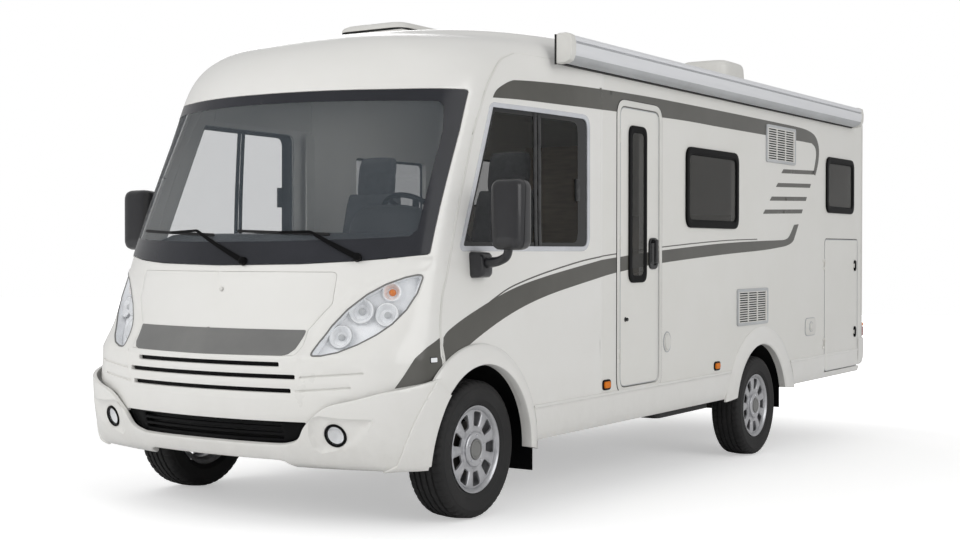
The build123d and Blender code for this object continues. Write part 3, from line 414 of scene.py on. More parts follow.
def flat_sheet(outline, holes=(), spacing=30.0, thickness=4.0, edge=1.5, fine=0.5, ribs=()):
    """A flat sheet in its own plane, its face at height 0 and its rim rounded."""
    loops = [np.array(dense(loop, spacing * fine)) for loop in (outline, *holes)]
    low, high = loops[0].min(0), loops[0].max(0)
    grid = np.stack(np.meshgrid(np.arange(low[0], high[0], spacing), np.arange(low[1], high[1], spacing)),
                    -1)
    grid[1::2, :, 0] += spacing / 2
    grid = grid.reshape(-1, 2)
    grid = grid[inside(grid, loops[0])]
    for loop in loops[1:]:
        grid = grid[~inside(grid, loop)]
    for loop in loops:
        grid = grid[~near(grid, loop, spacing * 0.55)]
    edges, first = [], 0
    for loop in loops:
        edges += [(first + i, first + (i + 1) % len(loop)) for i in range(len(loop))]
        first += len(loop)
    points = [Vector(p) for loop in loops for p in loop]
    for rib in ribs:
        line = np.array(dense(rib, spacing)[:-1])
        line = line[inside(line, loops[0])]
        grid = grid[~near(grid, line, spacing * 0.4)]
        edges += [(len(points) + i, len(points) + i + 1) for i in range(len(line) - 1)]
        points += [Vector(p) for p in line]
    points += [Vector(p) for p in grid]
    points, _, faces, *_ = delaunay_2d_cdt(points, edges, [], 0, 1e-4)
    middles = np.array([sum((points[i] for i in face), Vector((0, 0))) / len(face) for face in faces])
    keep = inside(middles, loops[0])
    for loop in loops[1:]:
        keep &= ~inside(middles, loop)
    bm = bmesh.new()
    verts = [bm.verts.new((p.x, p.y, -thickness)) for p in points]
    for face in (face for face, kept in zip(faces, keep) if kept):
        bm.faces.new([verts[i] for i in face])
    bmesh.ops.delete(bm, geom=[v for v in verts if not v.link_faces], context="VERTS")
    bmesh.ops.recalc_face_normals(bm, faces=bm.faces)
    if bm.faces[:][0].normal.z > 0:
        bmesh.ops.reverse_faces(bm, faces=bm.faces)
    raised = bmesh.ops.extrude_face_region(bm, geom=bm.faces[:], use_keep_orig=True)["geom"]
    top = [v for v in raised if isinstance(v, bmesh.types.BMVert)]
    bmesh.ops.translate(bm, verts=top, vec=(0, 0, thickness))
    bmesh.ops.recalc_face_normals(bm, faces=bm.faces)
    if edge:
        rim = [e for e in bm.edges if all(v.co.z > -thickness / 2 for v in e.verts)
               and any(abs(f.normal.z) < 0.5 for f in e.link_faces)]
        bmesh.ops.bevel(bm, geom=rim, offset=edge, segments=2, profile=0.5, affect="EDGES", material=-1)
    return bm


def lay(bm, shell, depth=0.0):
    """Bends a flat sheet over a moulding, at that depth under its face."""
    flat = np.array([v.co for v in bm.verts])
    for vert, co in zip(bm.verts, shell.place(flat[:, 0], flat[:, 1], depth - flat[:, 2])):
        vert.co = Vector(co)
    return bm


def finish(bm, name, material, body="body", replaces=(), slot=None, sharp=35.0, level_body=True):
    """The piece in the world: its millimetres become metres, and it leans with the body."""
    bmesh.ops.transform(bm, matrix=Matrix.Scale(MM, 4), verts=bm.verts)
    if level_body:
        bmesh.ops.transform(bm, matrix=body_to_world, verts=bm.verts)
    for face in bm.faces:
        face.smooth = True
    for edge in bm.edges:
        if len(edge.link_faces) == 2 and edge.calc_face_angle(0) > math.radians(sharp):
            edge.smooth = False
    mesh = bpy.data.meshes.new(name)
    bm.to_mesh(mesh)
    bm.free()
    piece = bpy.data.objects.new(name, mesh)
    bpy.context.scene.collection.objects.link(piece)
    mesh.materials.append(material)
    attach(piece, body)
    if replaces:
        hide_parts(*replaces)
    return piece


def other_side(bm):
    """A copy of the bmesh on the other side of the middle line."""
    copy = bm.copy()
    bmesh.ops.scale(copy, vec=(-1, 1, 1), verts=copy.verts)
    bmesh.ops.reverse_faces(copy, faces=copy.faces)
    return copy


def join(*parts):
    """Several bmeshes as one."""
    whole = parts[0]
    for part in parts[1:]:
        mesh = bpy.data.meshes.new("joined")
        part.to_mesh(mesh)
        whole.from_mesh(mesh)
        bpy.data.meshes.remove(mesh)
        part.free()
    return whole


def both_sides(*parts):
    """The bmeshes and their copies on the other side, as one."""
    whole = join(*parts)
    return join(whole, other_side(whole))


def grown(loop, reach):
    """A closed outline moved outward by reach, or inward if that is below zero."""
    loop = [Vector(p[:2]) for p in loop]
    area = sum(a.x * b.y - b.x * a.y for a, b in zip(loop, loop[1:] + loop[:1]))
    shifted = []
    for i, point in enumerate(loop):
        along = (loop[(i + 1) % len(loop)] - point).normalized() + (point - loop[i - 1]).normalized()
        normal = Vector((along.y, -along.x)).normalized() * (1 if area > 0 else -1)
        shifted.append(point + normal * reach)
    return shifted


def disc(x, z, radius, count=40):
    """A circle's outline."""
    return [(x + radius * math.cos(math.tau * i / count), z + radius * math.sin(math.tau * i / count))
            for i in range(count)]


def ahead(points, radius=0, shell=nose):
    """An outline seen from ahead, as x and z, laid out on the nose."""
    return [Vector(shell.front(p[0], p[1])) for p in dense(rounded(points, radius) if radius else points,
                                                           22)]


def beside(points, shell=nose):
    """Points seen from the left, as y and z, laid out on the nose."""
    return [shell.side(y, z) for y, z in points]


windscreen_half = [(0, 1319), (470, 1327), (750, 1343), (920, 1360), (1024, 1374), (1016, 1612),
                   (1010, 1817), (1004, 2009), (992, 2226), (700, 2219), (0, 2217)]
flap_half = [(0, 886), (556, 886), (574, 930), (568, 1000), (628, 1088), (662, 1130), (662, 1286),
             (0, 1286)]
lamp_outline = [(1024, 1281), (962, 1262), (889, 1229), (813, 1177), (738, 1104), (680, 1022), (649, 950),
                (630, 880), (690, 882), (762, 899), (833, 935), (898, 983), (950, 1034), (992, 1102),
                (1016, 1182)]
panel_half = [(0, 690), (560, 690), (574, 740), (578, 800), (578, 870), (592, 930), (580, 1000),
              (640, 1092), (746, 1190), (872, 1264), (1020, 1299), (1034, 1330), (1034, 1352), (0, 1352)]
panel_drop = 5.0
panel_loop = ahead(mirrored(panel_half))
# height, half width, reach of the part beyond the end and its rise
slots = [(836, 478, 0, 0), (776, 560, 330, 26), (708, 536, 300, 24)]
slot_height = 23.0
windscreen_loop = ahead(mirrored(windscreen_half), 14)
flap_loop = ahead(mirrored(flap_half), 26)
lamp_loop = ahead(lamp_outline, 26)
lamp_mirror = [Vector((-p.x, p.y)) for p in reversed(lamp_loop)]
slot_loops = []
for height, half, reach, rise in slots:
    low, high = height - slot_height / 2, height + slot_height / 2
    slot_loops.append(ahead([(-half, low), (half, low), (half, high), (-half, high)], 8))
    for side in (1, -1) if reach else ():
        start, stop = side * (half + 26), side * (half + reach)
        slot_loops.append(ahead([(start, height - 5), (stop, height - 5 + rise), (stop, height + 5 + rise),
                                 (start, height + 5)][::side]))
roof_end = nose.rise[-1]
side_seam = [(-334, 700), (-378, 870), (-384, 1003), (-349, 1160), (-289, 1290), (-176, 1597), (-12, 1988),
             (66, 2130), (123, 2233), (202, 2333), (287, 2409), (416, 2460)]
seam_line = beside(curved(side_seam, closed=False))
nose_half = ([nose.front(x, z) for x, z in ((0, 557), (300, 557), (604, 557), (620, 540), (731, 625),
                                            (875, 665), (1000, 702), (1060, 722))]
             + [nose.side(-430, 735), nose.side(-430, 702), nose.side(-334, 702)] + seam_line[1:]
             + [nose.side(y, 2460) for y in (700, 950, cab_end)]
             + [nose.side(cab_end, z) for z in (2490, 2520, 2545, 2570, 2590, 2610, 2625, 2640)]
             + [(s, roof_end) for s in (1300, 900, 500, 0)])
crease = nose.t_at(870)
moulding = flat_sheet(mirrored(nose_half), [grown(windscreen_loop, 2.5), grown(flap_loop, 1.6),
                                            grown(lamp_loop, 2.5), grown(lamp_mirror, 2.5), *slot_loops],
                      thickness=20, ribs=[[(-1400, crease), (1400, crease), (1400, crease)],
                                          *[[*loop, loop[0], loop[0]]
                                            for loop in (panel_loop, grown(panel_loop, 9))]])
flat = np.array([v.co.xy for v in moulding.verts])
for vert, held in zip(moulding.verts, inside(flat, np.array(grown(panel_loop, 1)))):
    vert.co.z -= panel_drop if held else 0
lay(moulding, nose)
last_section = [nose.point(s, roof_end) for s in np.linspace(-1, 1, 61) * nose.side(cab_end, 2640)[0]]
front_hatch_hole = rounded([(-205, 495), (205, 495), (205, 905), (-205, 905)], 30)
cap = flat_sheet([(p[0], p[1]) for p in last_section], [front_hatch_hole], thickness=20, edge=1, spacing=45)
bmesh.ops.translate(cap, verts=cap.verts, vec=(0, 0, nose_rows[-1][0] + 1))
finish(join(moulding, cap), "nose_moulding", shell_paint, replaces=("front_mask", "grille_panel"),
       slot="shell_white", sharp=50)

# Backs of the openings under the flap: white floors that make shallow grooves of the outer slots,
# and a black plastic duct panel behind the open ones.
black_plastic = finish_of("black_plastic", (12, 12, 13), (20, 20, 21), 0.42, grain=0.3, grain_scale=700,
                          specular=0.07)
groove_floors = [lay(flat_sheet(grown(loop, 7), thickness=2, edge=0), nose, 8)
                 for loop in slot_loops if max(abs(p[0]) for p in loop) > 700]
groove_floors.append(lay(flat_sheet(grown(flap_loop, 12), [grown(flap_loop, -10)], thickness=2, edge=0),
                         nose, 21))
finish(join(*groove_floors), "groove_floors", shell_paint, slot="shell_white")
duct = flat_sheet(ahead([(-880, 676), (880, 676), (880, 868), (-880, 868)], 20), thickness=4, edge=1)
finish(lay(duct, nose, 26), "slot_duct", black_plastic, slot="trim_black")

# Service flap: a fibreglass lid hinged along its top, flush with the sunk panel round it, with a grey
# moulded strip along its foot.
strip_grey = finish_of("strip_grey", (112, 112, 111), (124, 124, 122), 0.4, grain=0.15, grain_scale=600)
flap = lay(flat_sheet(flap_loop, thickness=16, edge=1.2), nose, panel_drop)
finish(flap, "service_flap", shell_paint, body="bonnet", replaces=("bonnet",), slot="shell_white")
strip_half = [(0, 1004), (563, 1004), (560, 980), (545, 915), (520, 890), (490, 882), (0, 878)]
strip_piece = lay(flat_sheet(ahead(mirrored(strip_half), 12), thickness=5, edge=2.5), nose,
                  panel_drop - 3.5)
finish(strip_piece, "flap_strip", strip_grey, body="bonnet", slot="trim_grey")

# Windscreen: laminated glass bonded in from outside and flush with the moulding, with a black band
# printed round its edge.
def glass_of(name, dark, light, solid):
    """Glazing: a smooth tinted sheet, of which only a share is solid to the eye."""
    material = finish_of(name, dark, light, 0.03, scale=1.1, specular=0.6)
    material.node_tree.nodes["Principled BSDF"].inputs["Alpha"].default_value = solid
    return material


print_black = finish_of("print_black", (44, 45, 49), (51, 52, 57), 0.16, grain=0.02, specular=0.2)
screen_glass = glass_of("screen_glass", (100, 109, 117), (112, 121, 129), 0.17)
pane = lay(flat_sheet(windscreen_loop, thickness=5, edge=1.5), nose, 1)
finish(pane, "windscreen_pane", screen_glass, replaces=("windscreen",), slot="glass_clear")
band_half = [(0, 1436), (341, 1438), (734, 1449), (940, 1462), (966, 1499), (961, 1746), (956, 2006),
             (936, 2132), (915, 2158), (250, 2161), (0, 2161)]
band = lay(flat_sheet(grown(windscreen_loop, -1.5), [ahead(mirrored(band_half), 18)], thickness=0.8,
                      edge=0),
           nose, 0.2)
finish(band, "windscreen_band", print_black, slot="trim_black")

# Headlamps: clear covers flush with the nose over a silvered housing with four bowls: two main
# lamps, a lower lamp and the amber indicator at the top, each in a turned bowl. Housing and bowls are
# near-white, a painted reflection of their silvered faces that also lightens the shade in the recess.
trim_grey = finish_of("trim_grey", (176, 178, 180), (192, 194, 196), 0.45, grain=0.2, grain_scale=500)
amber_lens = finish_of("amber_lens", (214, 112, 6), (228, 126, 10), 0.35, scale=30, specular=0.2)
lamp_glass = glass_of("lamp_glass", (226, 230, 234), (236, 239, 242), 0.04)
# near-white housing and bowls: painted reflection of silvered metal, lifting the shade under the cover; the
# bowls keep a little true metal sheen
lamp_body_painted_reflection = finish_of("lamp_body_painted_reflection", (244, 246, 249), (250, 251, 253), 0.25, scale=20)
bowl_painted_reflection = finish_of("bowl_painted_reflection", (246, 248, 251), (252, 253, 254), 0.1, scale=12, metallic=0.25)


def turned(profile, count=48):
    """A body spun about Z, from its profile of radius and height."""
    bm = bmesh.new()
    verts = [bm.verts.new((radius, 0, height)) for radius, height in profile]
    edges = [bm.edges.new(pair) for pair in zip(verts, verts[1:])]
    bmesh.ops.spin(bm, geom=verts + edges, axis=(0, 0, 1), cent=(0, 0, 0), angle=math.tau, steps=count,
                   use_merge=True)
    bmesh.ops.remove_doubles(bm, verts=bm.verts, dist=0.001)
    bmesh.ops.recalc_face_normals(bm, faces=bm.faces)
    return bm


def moved(bm, matrix):
    """The bmesh itself, moved."""
    bmesh.ops.transform(bm, matrix=matrix, verts=bm.verts)
    return bm


def facing(place, forward):
    """The turn and shift that put a body turned about Z at a place, its Z looking forward."""
    z = Vector(forward).normalized()
    x = Vector((0, 0, 1)).cross(z).normalized()
    return Matrix.Translation(place) @ Matrix((x, z.cross(x), z)).transposed().to_4x4()


def nose_facing(x, z, depth, shell=nose, lean=0.75):
    """A place under the nose's face at x and z, looking mostly ahead."""
    s, t = shell.front(x, z)
    here, under = Vector(shell.place(s, t, depth)), Vector(shell.place(s, t, depth + 10))
    outward = (here - under).normalized()
    return facing(here, Vector((0, -1, 0)).lerp(outward, lean))


lamp_cover = lay(flat_sheet(grown(lamp_loop, -1), thickness=3, edge=1.2, spacing=22), nose, 0.5)
finish(both_sides(lamp_cover), "lamp_covers", lamp_glass, replaces=("headlamps",), slot="lamp_clear")
tub = lay(flat_sheet(grown(lamp_loop, -1), thickness=3, edge=0, spacing=22), nose, 52)
wall = flat_sheet(grown(lamp_loop, -1), [grown(lamp_loop, -5)], thickness=46, edge=0, spacing=22)
finish(both_sides(tub, lay(wall, nose, 5)), "lamp_housings", lamp_body_painted_reflection, slot="lamp_clear", sharp=30)
seal = lay(flat_sheet(grown(lamp_loop, 2.4), [grown(lamp_loop, -6)], thickness=3, edge=0.8, spacing=20),
           nose, -0.6)
finish(both_sides(seal), "lamp_seals", strip_grey, slot="trim_grey")
bowls, bulbs, ambers = [], [], []
for x, z, radius in ((797, 1104, 54), (913, 1088, 50), (728, 986, 50), (915, 1196, 38)):
    bowl = turned([(radius + 10, 2), (radius + 9, 6), (radius + 2, 7), (radius - 1, 2), (radius * 0.8, -12),
                   (radius * 0.5, -24), (radius * 0.2, -29), (0, -30)])
    place = nose_facing(x, z, 34)
    bowls.append(moved(bowl, place))
    if radius == 38:
        dome = turned([(radius * 0.46, -22), (radius * 0.45, -8), (radius * 0.3, 1), (0, 4)])
        ambers.append(moved(dome, place))
    else:
        for profile in ([(radius * 0.34, -26), (radius * 0.34, -8), (radius * 0.26, 2), (0, 6)],
                        [(radius + 12, 1), (radius + 12, 5), (radius + 8, 6.5), (radius + 8, 1)]):
            bulbs.append(moved(turned(profile), place))
finish(both_sides(*bulbs), "lamp_bulbs_and_rings", trim_grey, slot="lamp_clear", sharp=45)
finish(both_sides(*bowls), "lamp_bowls", bowl_painted_reflection, slot="lamp_clear", sharp=45)
finish(both_sides(*ambers), "indicator_bowls", amber_lens, slot="lamp_amber", sharp=45)

# Bumper: a thick moulded skin that wraps the nose's foot, proud of it, with a shallow scoop on each
# side and a fog lamp let into it.
bumper_rows = [(318, -790, 3200, 1112, -430, 1118), (350, -850, 3200, 1124, -430, 1130),
               (560, -930, 3200, 1134, -430, 1140), (700, -950, 3100, 1134, -430, 1140),
               (800, -955, 3100, 1126, -430, 1132)]
bumper = Moulding(bumper_rows, 0.0)
bumper_top = [(0, 438), (400, 438), (500, 446), (566, 474), (618, 545), (731, 635), (875, 675), (1000, 712)]
bumper_half = (beside(((-431, 770), (-431, 606), (-455, 550), (-482, 470), (-500, 400),
                       (-505, 352), (-503, 320)), bumper)
               + [bumper.front(x, z) for x, z in ((900, 322), (620, 318.5), (482, 318.5), (455, 350),
                                                  (425, 357), (0, 357))])
top_loop = [bumper.front(x, z) for x, z in curved(bumper_top, closed=False, steps=5)]
fog_x, fog_z = 765, 496
fog_holes = [ahead(disc(side * fog_x, fog_z, 56), shell=bumper) for side in (1, -1)]
bumper_outline = mirrored(top_loop + bumper_half)
scoop_half = [(640, 556), (662, 584), (700, 597), (802, 588), (962, 586), (930, 532), (882, 484),
              (829, 450), (750, 424), (680, 408), (646, 430), (632, 490)]
scoops = [ahead([(side * x, z) for x, z in scoop_half], 12, bumper) for side in (1, -1)]
bumper_flat = flat_sheet(bumper_outline, fog_holes, thickness=22, edge=7, spacing=17, fine=0.7,
                         ribs=[[*loop, loop[0], loop[0]] for scoop in scoops
                               for loop in (scoop, grown(scoop, -13))])
scoop_depth, slope_width, slope_steps = 15.0, 26.0, 14
flat = np.array([v.co.xy for v in bumper_flat.verts])
for loop in (np.array(scoop) for scoop in scoops):
    steps_in = sum(~near(flat, loop, reach) for reach in np.linspace(0.5, slope_width, slope_steps))
    for vert, held, share in zip(bumper_flat.verts, inside(flat, loop), steps_in / slope_steps):
        vert.co.z -= scoop_depth * share ** 0.7 if held else 0
finish(lay(bumper_flat, bumper), "bumper_skin", shell_paint, replaces=("front_bumper",), slot="shell_white")
fog_places = [nose_facing(side * fog_x, fog_z, 15, bumper, lean=0.9) for side in (1, -1)]
fog_parts = {"rings": [(57, -14), (57, 2), (53, 5), (47, 4), (45, -3), (45, -14)],
             "glasses": [(45, -8), (45, -1), (34, 3), (18, 5), (0, 6)],
             "bowls": [(44, -10), (30, -26), (12, -34), (0, -35)]}
fog = {name: [moved(turned(profile, 40), place) for place in fog_places]
       for name, profile in fog_parts.items()}
# the fog lamps' bowls take the headlamp bowls' near-white finish: painted reflection
for side, bowl in zip(("left", "right"), fog["bowls"]):
    finish(bowl, "fog_bowl_" + side, bowl_painted_reflection, slot="lamp_clear")
finish(join(*fog["rings"]), "fog_rings", black_plastic, slot="trim_black")
finish(join(*fog["glasses"]), "fog_glasses", lamp_glass, replaces=("fog_lamps",), slot="lamp_clear")

# Lower grille: a black moulded panel between the bumper's arms, with three slots in it and a dark
# back behind them.
rubber = finish_of("rubber", (18, 18, 19), (30, 30, 31), 0.7, grain=0.4, grain_scale=300)
mouth_half = [(0, 556), (604, 556), (618, 540), (566, 470), (500, 442), (0, 436)]
slats = [ahead([(-470, z), (470, z), (470, z + 18), (-470, z + 18)], 8) for z in (462, 494, 526)]
grille = lay(flat_sheet(ahead(mirrored(mouth_half)), slats, thickness=14, edge=2.5, spacing=24), nose, 14)
finish(grille, "lower_grille_panel", black_plastic, replaces=("lower_grille",), slot="trim_black")
back = lay(flat_sheet(ahead([(-560, 440), (560, 440), (560, 552), (-560, 552)]), thickness=3, edge=0), nose,
           60)
finish(back, "grille_back", rubber, slot="trim_black")

# Cab sides: fibreglass panels bonded between the nose moulding and the long walls, with a window
# hole, and a rubber bead where they meet the moulding.
cream_trim = finish_of("cream_trim", (214, 213, 208), (224, 223, 219), 0.42, grain=0.15, grain_scale=500)
cab_window = [(-152, 1412), (1078, 1412), (1078, 2150), (170, 2150)]
glass_loop = [Vector(nose.side(y, z)) for y, z in dense(rounded(cab_window, [12, 55, 60, 14]), 22)]
mouth_y, mouth_z, mouth_radius = front_mouth = (-50, 352, 455)          # of the wheel arch
mouth_line = [(mouth_y + mouth_radius * math.sin(a), mouth_z + mouth_radius * math.cos(a))
              for a in np.linspace(1.1, -0.86, 18)]
cab_outline = (beside(((cab_end, 2459), (cab_end, 2200), (cab_end, 1500), (cab_end, 900),
                       (cab_end, 548), (420, 548)))
               + beside(mouth_line)
               + [(p[0] + 3, p[1]) for p in seam_line[1:]] + [nose.side(y, 2459) for y in (700, 950)])
cab_panel = lay(flat_sheet(cab_outline, [grown(glass_loop, 1)], thickness=20, edge=0), nose)
finish(both_sides(cab_panel), "cab_side_panels", shell_paint, replaces=("cab_sides",), slot="shell_white")
bead = lay(flat_sheet([(p[0] - 4, p[1]) for p in seam_line[1:]]
                      + [(p[0] + 12, p[1]) for p in reversed(seam_line[1:])], thickness=9, edge=2.6,
                      spacing=16), nose, -3)
finish(both_sides(bead), "cab_seam_beads", cream_trim, slot="trim_white")

# Cab windows: toughened glass in a slim silver frame, with a black printed edge, a black division
# between the fixed pane and the sliding one, and its latch.
black_gloss = finish_of("black_gloss", (14, 15, 16), (22, 23, 25), 0.2, grain=0.02, coat=0.25)
trim_silver = finish_of("trim_silver", (204, 206, 211), (216, 218, 223), 0.24, scale=6, metallic=0.2)
cab_glass = glass_of("cab_glass", (40, 43, 44), (50, 53, 54), 0.14)
cab_pane = lay(flat_sheet(grown(glass_loop, -1), thickness=5, edge=1), nose, 4)
finish(both_sides(cab_pane), "cab_window_panes", cab_glass, replaces=("cab_windows",), slot="glass_clear")
clear_part = [(-122, 1436), (972, 1436), (972, 2122), (184, 2122)]
clear_part = beside(dense(rounded(clear_part, [10, 60, 60, 12]), 22))
cab_band = lay(flat_sheet(grown(glass_loop, -3), [clear_part], thickness=1, edge=0), nose, 3.2)
division = [lay(flat_sheet(beside(((y0, 1416), (y0 + 30, 1416), (y0 + 44, 2146), (y0 + 14, 2146))),
                           thickness=6, edge=1.5), nose, 0) for y0 in (508, 548)]
division.append(lay(flat_sheet(beside(((936, 1672), (976, 1672), (976, 1800), (936, 1800))),
                               thickness=12, edge=4), nose, -9))
finish(both_sides(cab_band, *division), "cab_window_bands", black_gloss, slot="trim_black")
cab_trim = lay(flat_sheet(grown(glass_loop, 25), [grown(glass_loop, -3)], thickness=6, edge=2.5), nose, -4)
finish(both_sides(cab_trim), "cab_window_trims", trim_silver, slot="trim_grey")

# Joint strips over the meeting of cab and long walls: thin painted covers, let down to the films, and
# a wider one over the shoulder of the roof.
strips = [lay(flat_sheet(beside([(1236, z) for z in np.linspace(low, high, 12)]
                                + [(1264, z) for z in np.linspace(high, low, 12)]), thickness=1.2,
                         edge=0.4), nose, -0.5)
          for low, high in ((560, 1232), (1372, 2214))]
strips.append(lay(flat_sheet(beside([(1222, z) for z in np.linspace(2344, 2632, 12)]
                                    + [(1278, z) for z in np.linspace(2632, 2344, 12)]), thickness=4,
                             edge=2.5), nose, -1))
finish(both_sides(*strips), "cab_joint_strips", shell_paint, slot="shell_white")

# Stripes: cast vinyl film on the paint, in one dark grey. The upper one sweeps over the cab window and
# along under the awning, the lower one climbs from the bumper to the back; slanted bars join them.
film_grey = finish_of("film_grey", (78, 77, 72), (89, 88, 83), 0.3, grain=0.04, grain_scale=200, coat=0.2)
half_width = 1110.0


def wall_sheet(points, holes=(), out=0.0, thickness=3.0, edge=1.0, spacing=60.0):
    """A sheet drawn in side view, as y and z, stood on the left wall's face or out from it."""
    return moved(flat_sheet(points, holes, thickness=thickness, edge=edge, spacing=spacing),
                 Matrix(((0, 0, 1, half_width + out), (1, 0, 0, 0), (0, 1, 0, 0), (0, 0, 0, 1))))


def plate(y0, y1, z0, z1, radius, grow=0.0):
    """A rectangle with rounded corners in side view."""
    y0, y1, z0, z1 = y0 - grow, y1 + grow, z0 - grow, z1 + grow
    return rounded([(y0, z0), (y1, z0), (y1, z1), (y0, z1)], max(radius + grow, 0.5))


def cab_film(outline):
    return lay(flat_sheet(outline, thickness=0.5, edge=0, spacing=24), nose, -0.7)


upper_top = [(178, 2198), (205, 2232), (248, 2261), (336, 2299), (421, 2311), (789, 2326), (1250, 2338)]
upper_foot = [(178, 2198), (408, 2205), (784, 2209), (1250, 2218)]
lower_top = [(-360, 962), (-300, 1000), (-94, 1077), (267, 1185), (655, 1256), (1250, 1337)]
lower_foot = [(-356, 792), (-300, 836), (-110, 927), (260, 1057), (652, 1148), (1250, 1237)]
pin_top = curved([(60, 1128), (231, 1192), (403, 1234), (634, 1278), (992, 1333), (1250, 1361)], False)
films = [cab_film(beside(outline)) for outline in (pin_top + [(y, z - 8) for y, z in reversed(pin_top)],
                                                   curved(upper_top, False)
                                                   + curved(upper_foot, False)[:0:-1],
                                                   curved(lower_top, False)
                                                   + curved(lower_foot, False)[::-1])]
finish(both_sides(*films), "cab_stripes", film_grey, slot="trim_grey")
nose_film = [(1005, 728), (1029, 786), (1048, 846), (1062, 886), (1074, 921)]
foot = beside(((-392, 962), (-388, 850), (-384, 768), (-440, 757)))
finish(both_sides(cab_film([nose.front(x, z) for x, z in nose_film] + foot)), "nose_stripes", film_grey,
       slot="trim_grey")
upper_wall = (curved([(1250, 2338), (1600, 2345), (2030, 2350), (3000, 2352), (4090, 2350), (4500, 2347),
                      (4700, 2336), (4850, 2306), (4930, 2240), (4945, 2160), (4915, 2070), (4862, 1990)],
                     False)
              + curved([(4812, 2000), (4852, 2080), (4876, 2150), (4862, 2205), (4800, 2234), (4700, 2242),
                        (4090, 2242), (3000, 2240), (2330, 2240), (1440, 2222), (1250, 2218)], False))
lower_wall = (curved([(1250, 1337), (1480, 1354), (2050, 1392), (2980, 1440), (3700, 1462), (4034, 1469),
                      (4184, 1474), (4267, 1490), (4323, 1526), (4394, 1590)], False)
              + curved([(4495, 1598), (4423, 1513), (4367, 1461), (4240, 1430), (4034, 1412), (3700, 1392),
                        (2980, 1362), (2050, 1312), (1480, 1264), (1250, 1237)], False))
pin_line = curved([(1250, 1362), (1480, 1379), (2050, 1417), (2980, 1462), (3650, 1478)], False)
pin_line += [(y, z - 7) for y, z in reversed(pin_line)]
bars = [[(y0, z0), (y1, z0 + 20), (y1 + 24, z0 + 52), (y0 + 42, z0 + 32)]
        for y0, y1, z0 in ((4124, 4817, 1976), (4013, 4740, 1868), (3890, 4650, 1762), (3760, 4560, 1662))]
right_bars = [[(max(y, 3950 + z - 1662), z) for y, z in bar] for bar in bars]
wall_films, right_films = ([wall_sheet(loop, out=0.5, thickness=0.4, edge=0)
                            for loop in (upper_wall, lower_wall, pin_line, *slanted)]
                           for slanted in (bars, right_bars))
finish(join(*wall_films), "wall_stripes", film_grey, slot="trim_grey")
finish(other_side(join(*right_films)), "wall_stripes_right", film_grey, slot="trim_grey")
leaf_film = join(*[wall_sheet(loop, out=1.6, thickness=0.4, edge=0) for loop in
                   ([(1487, 1354), (1598, 1363), (1598, 1276), (1487, 1265)],
                    [(1832, 1380), (2010, 1389), (2010, 1309), (1832, 1297)])])
finish(leaf_film, "door_stripe", film_grey, body="entry_door", slot="trim_grey")

# Entry door: a sandwich leaf with a raised moulded frame, rubber seals round both, a tall window,
# a black recessed handle and a small knob that holds it open.
wall_paint = finish_of("wall_paint", (226, 225, 220), (229, 228, 224), 0.3, grain=0.03, grain_scale=70,
                       dust=(176, 173, 164), coat=0.3)
tinted_glass = glass_of("tinted_glass", (48, 47, 44), (62, 61, 57), 0.5)
door = (1485, 2012, 570, 2257, 60)                  # as plate takes it: y, y, z, z, radius
door_window = (1602, 1828, 1205, 2145, 45)
surround = wall_sheet(plate(*door, 44), [plate(*door, 7)], out=5, thickness=6, edge=2.5)
finish(surround, "door_surround", cream_trim, slot="trim_white")
seals = wall_sheet(plate(*door, 47), [plate(*door, 43)], out=3, thickness=3, edge=0)
seals = join(seals, wall_sheet(plate(*door, 8), [plate(*door, -12)], out=-37, thickness=4, edge=0))
finish(seals, "door_seals", rubber, slot="trim_black")
leaf = wall_sheet(plate(*door, -1), [plate(*door_window, 4)], out=1, thickness=3, edge=2.5)
finish(leaf, "door_leaf_skin", wall_paint, body="entry_door", slot="wall_white")
lip = wall_sheet(plate(*door, -0.5), [plate(*door, -6)], out=1.6, thickness=2, edge=0.5)
finish(lip, "door_leaf_edge", trim_grey, body="entry_door", slot="trim_grey")


def glazing(hole, frame_width=36, stand=14, corner=70):
    """A hinged acrylic window: a dark pane in a rounded black frame with a raised inner line."""
    pane = wall_sheet(plate(*hole, -4), out=6, thickness=5, edge=1.5)
    ends = hole[:4]
    ring = wall_sheet(plate(*ends, corner, 10), [plate(*ends, corner + 20, -frame_width)], out=stand,
                      thickness=stand, edge=5)
    line = wall_sheet(plate(*ends, corner + 20, 3 - frame_width),
                      [plate(*ends, corner + 20, -8 - frame_width)], out=8, thickness=3, edge=1)
    return pane, join(ring, line)


pane, ring = glazing(door_window, 26, 9, 52)
finish(pane, "door_window_pane", tinted_glass, body="entry_door", replaces=("entry_door_window",),
       slot="glass_tinted")
finish(ring, "door_window_frame", black_plastic, body="entry_door", slot="trim_black")
handle = wall_sheet(plate(1866, 1990, 1275, 1472, 48), [plate(1888, 1968, 1300, 1448, 30)], out=12,
                    thickness=12, edge=4)
handle = join(handle, wall_sheet(plate(1880, 1976, 1290, 1458, 30), out=3, thickness=3, edge=0),
              wall_sheet(plate(1908, 1950, 1312, 1462, 18), out=34, thickness=12, edge=5),
              wall_sheet(plate(1910, 1948, 1438, 1464, 8), out=26, thickness=24, edge=2))
knob = moved(turned([(0, 20), (9, 18), (12, 12), (9, 6), (14, 2), (15, 0)], 24),
             facing((half_width + 1, 1556, 975), (1, 0, 0)))
finish(join(handle, knob), "door_handle", black_gloss, body="entry_door", replaces=("entry_handle",),
       slot="trim_black")

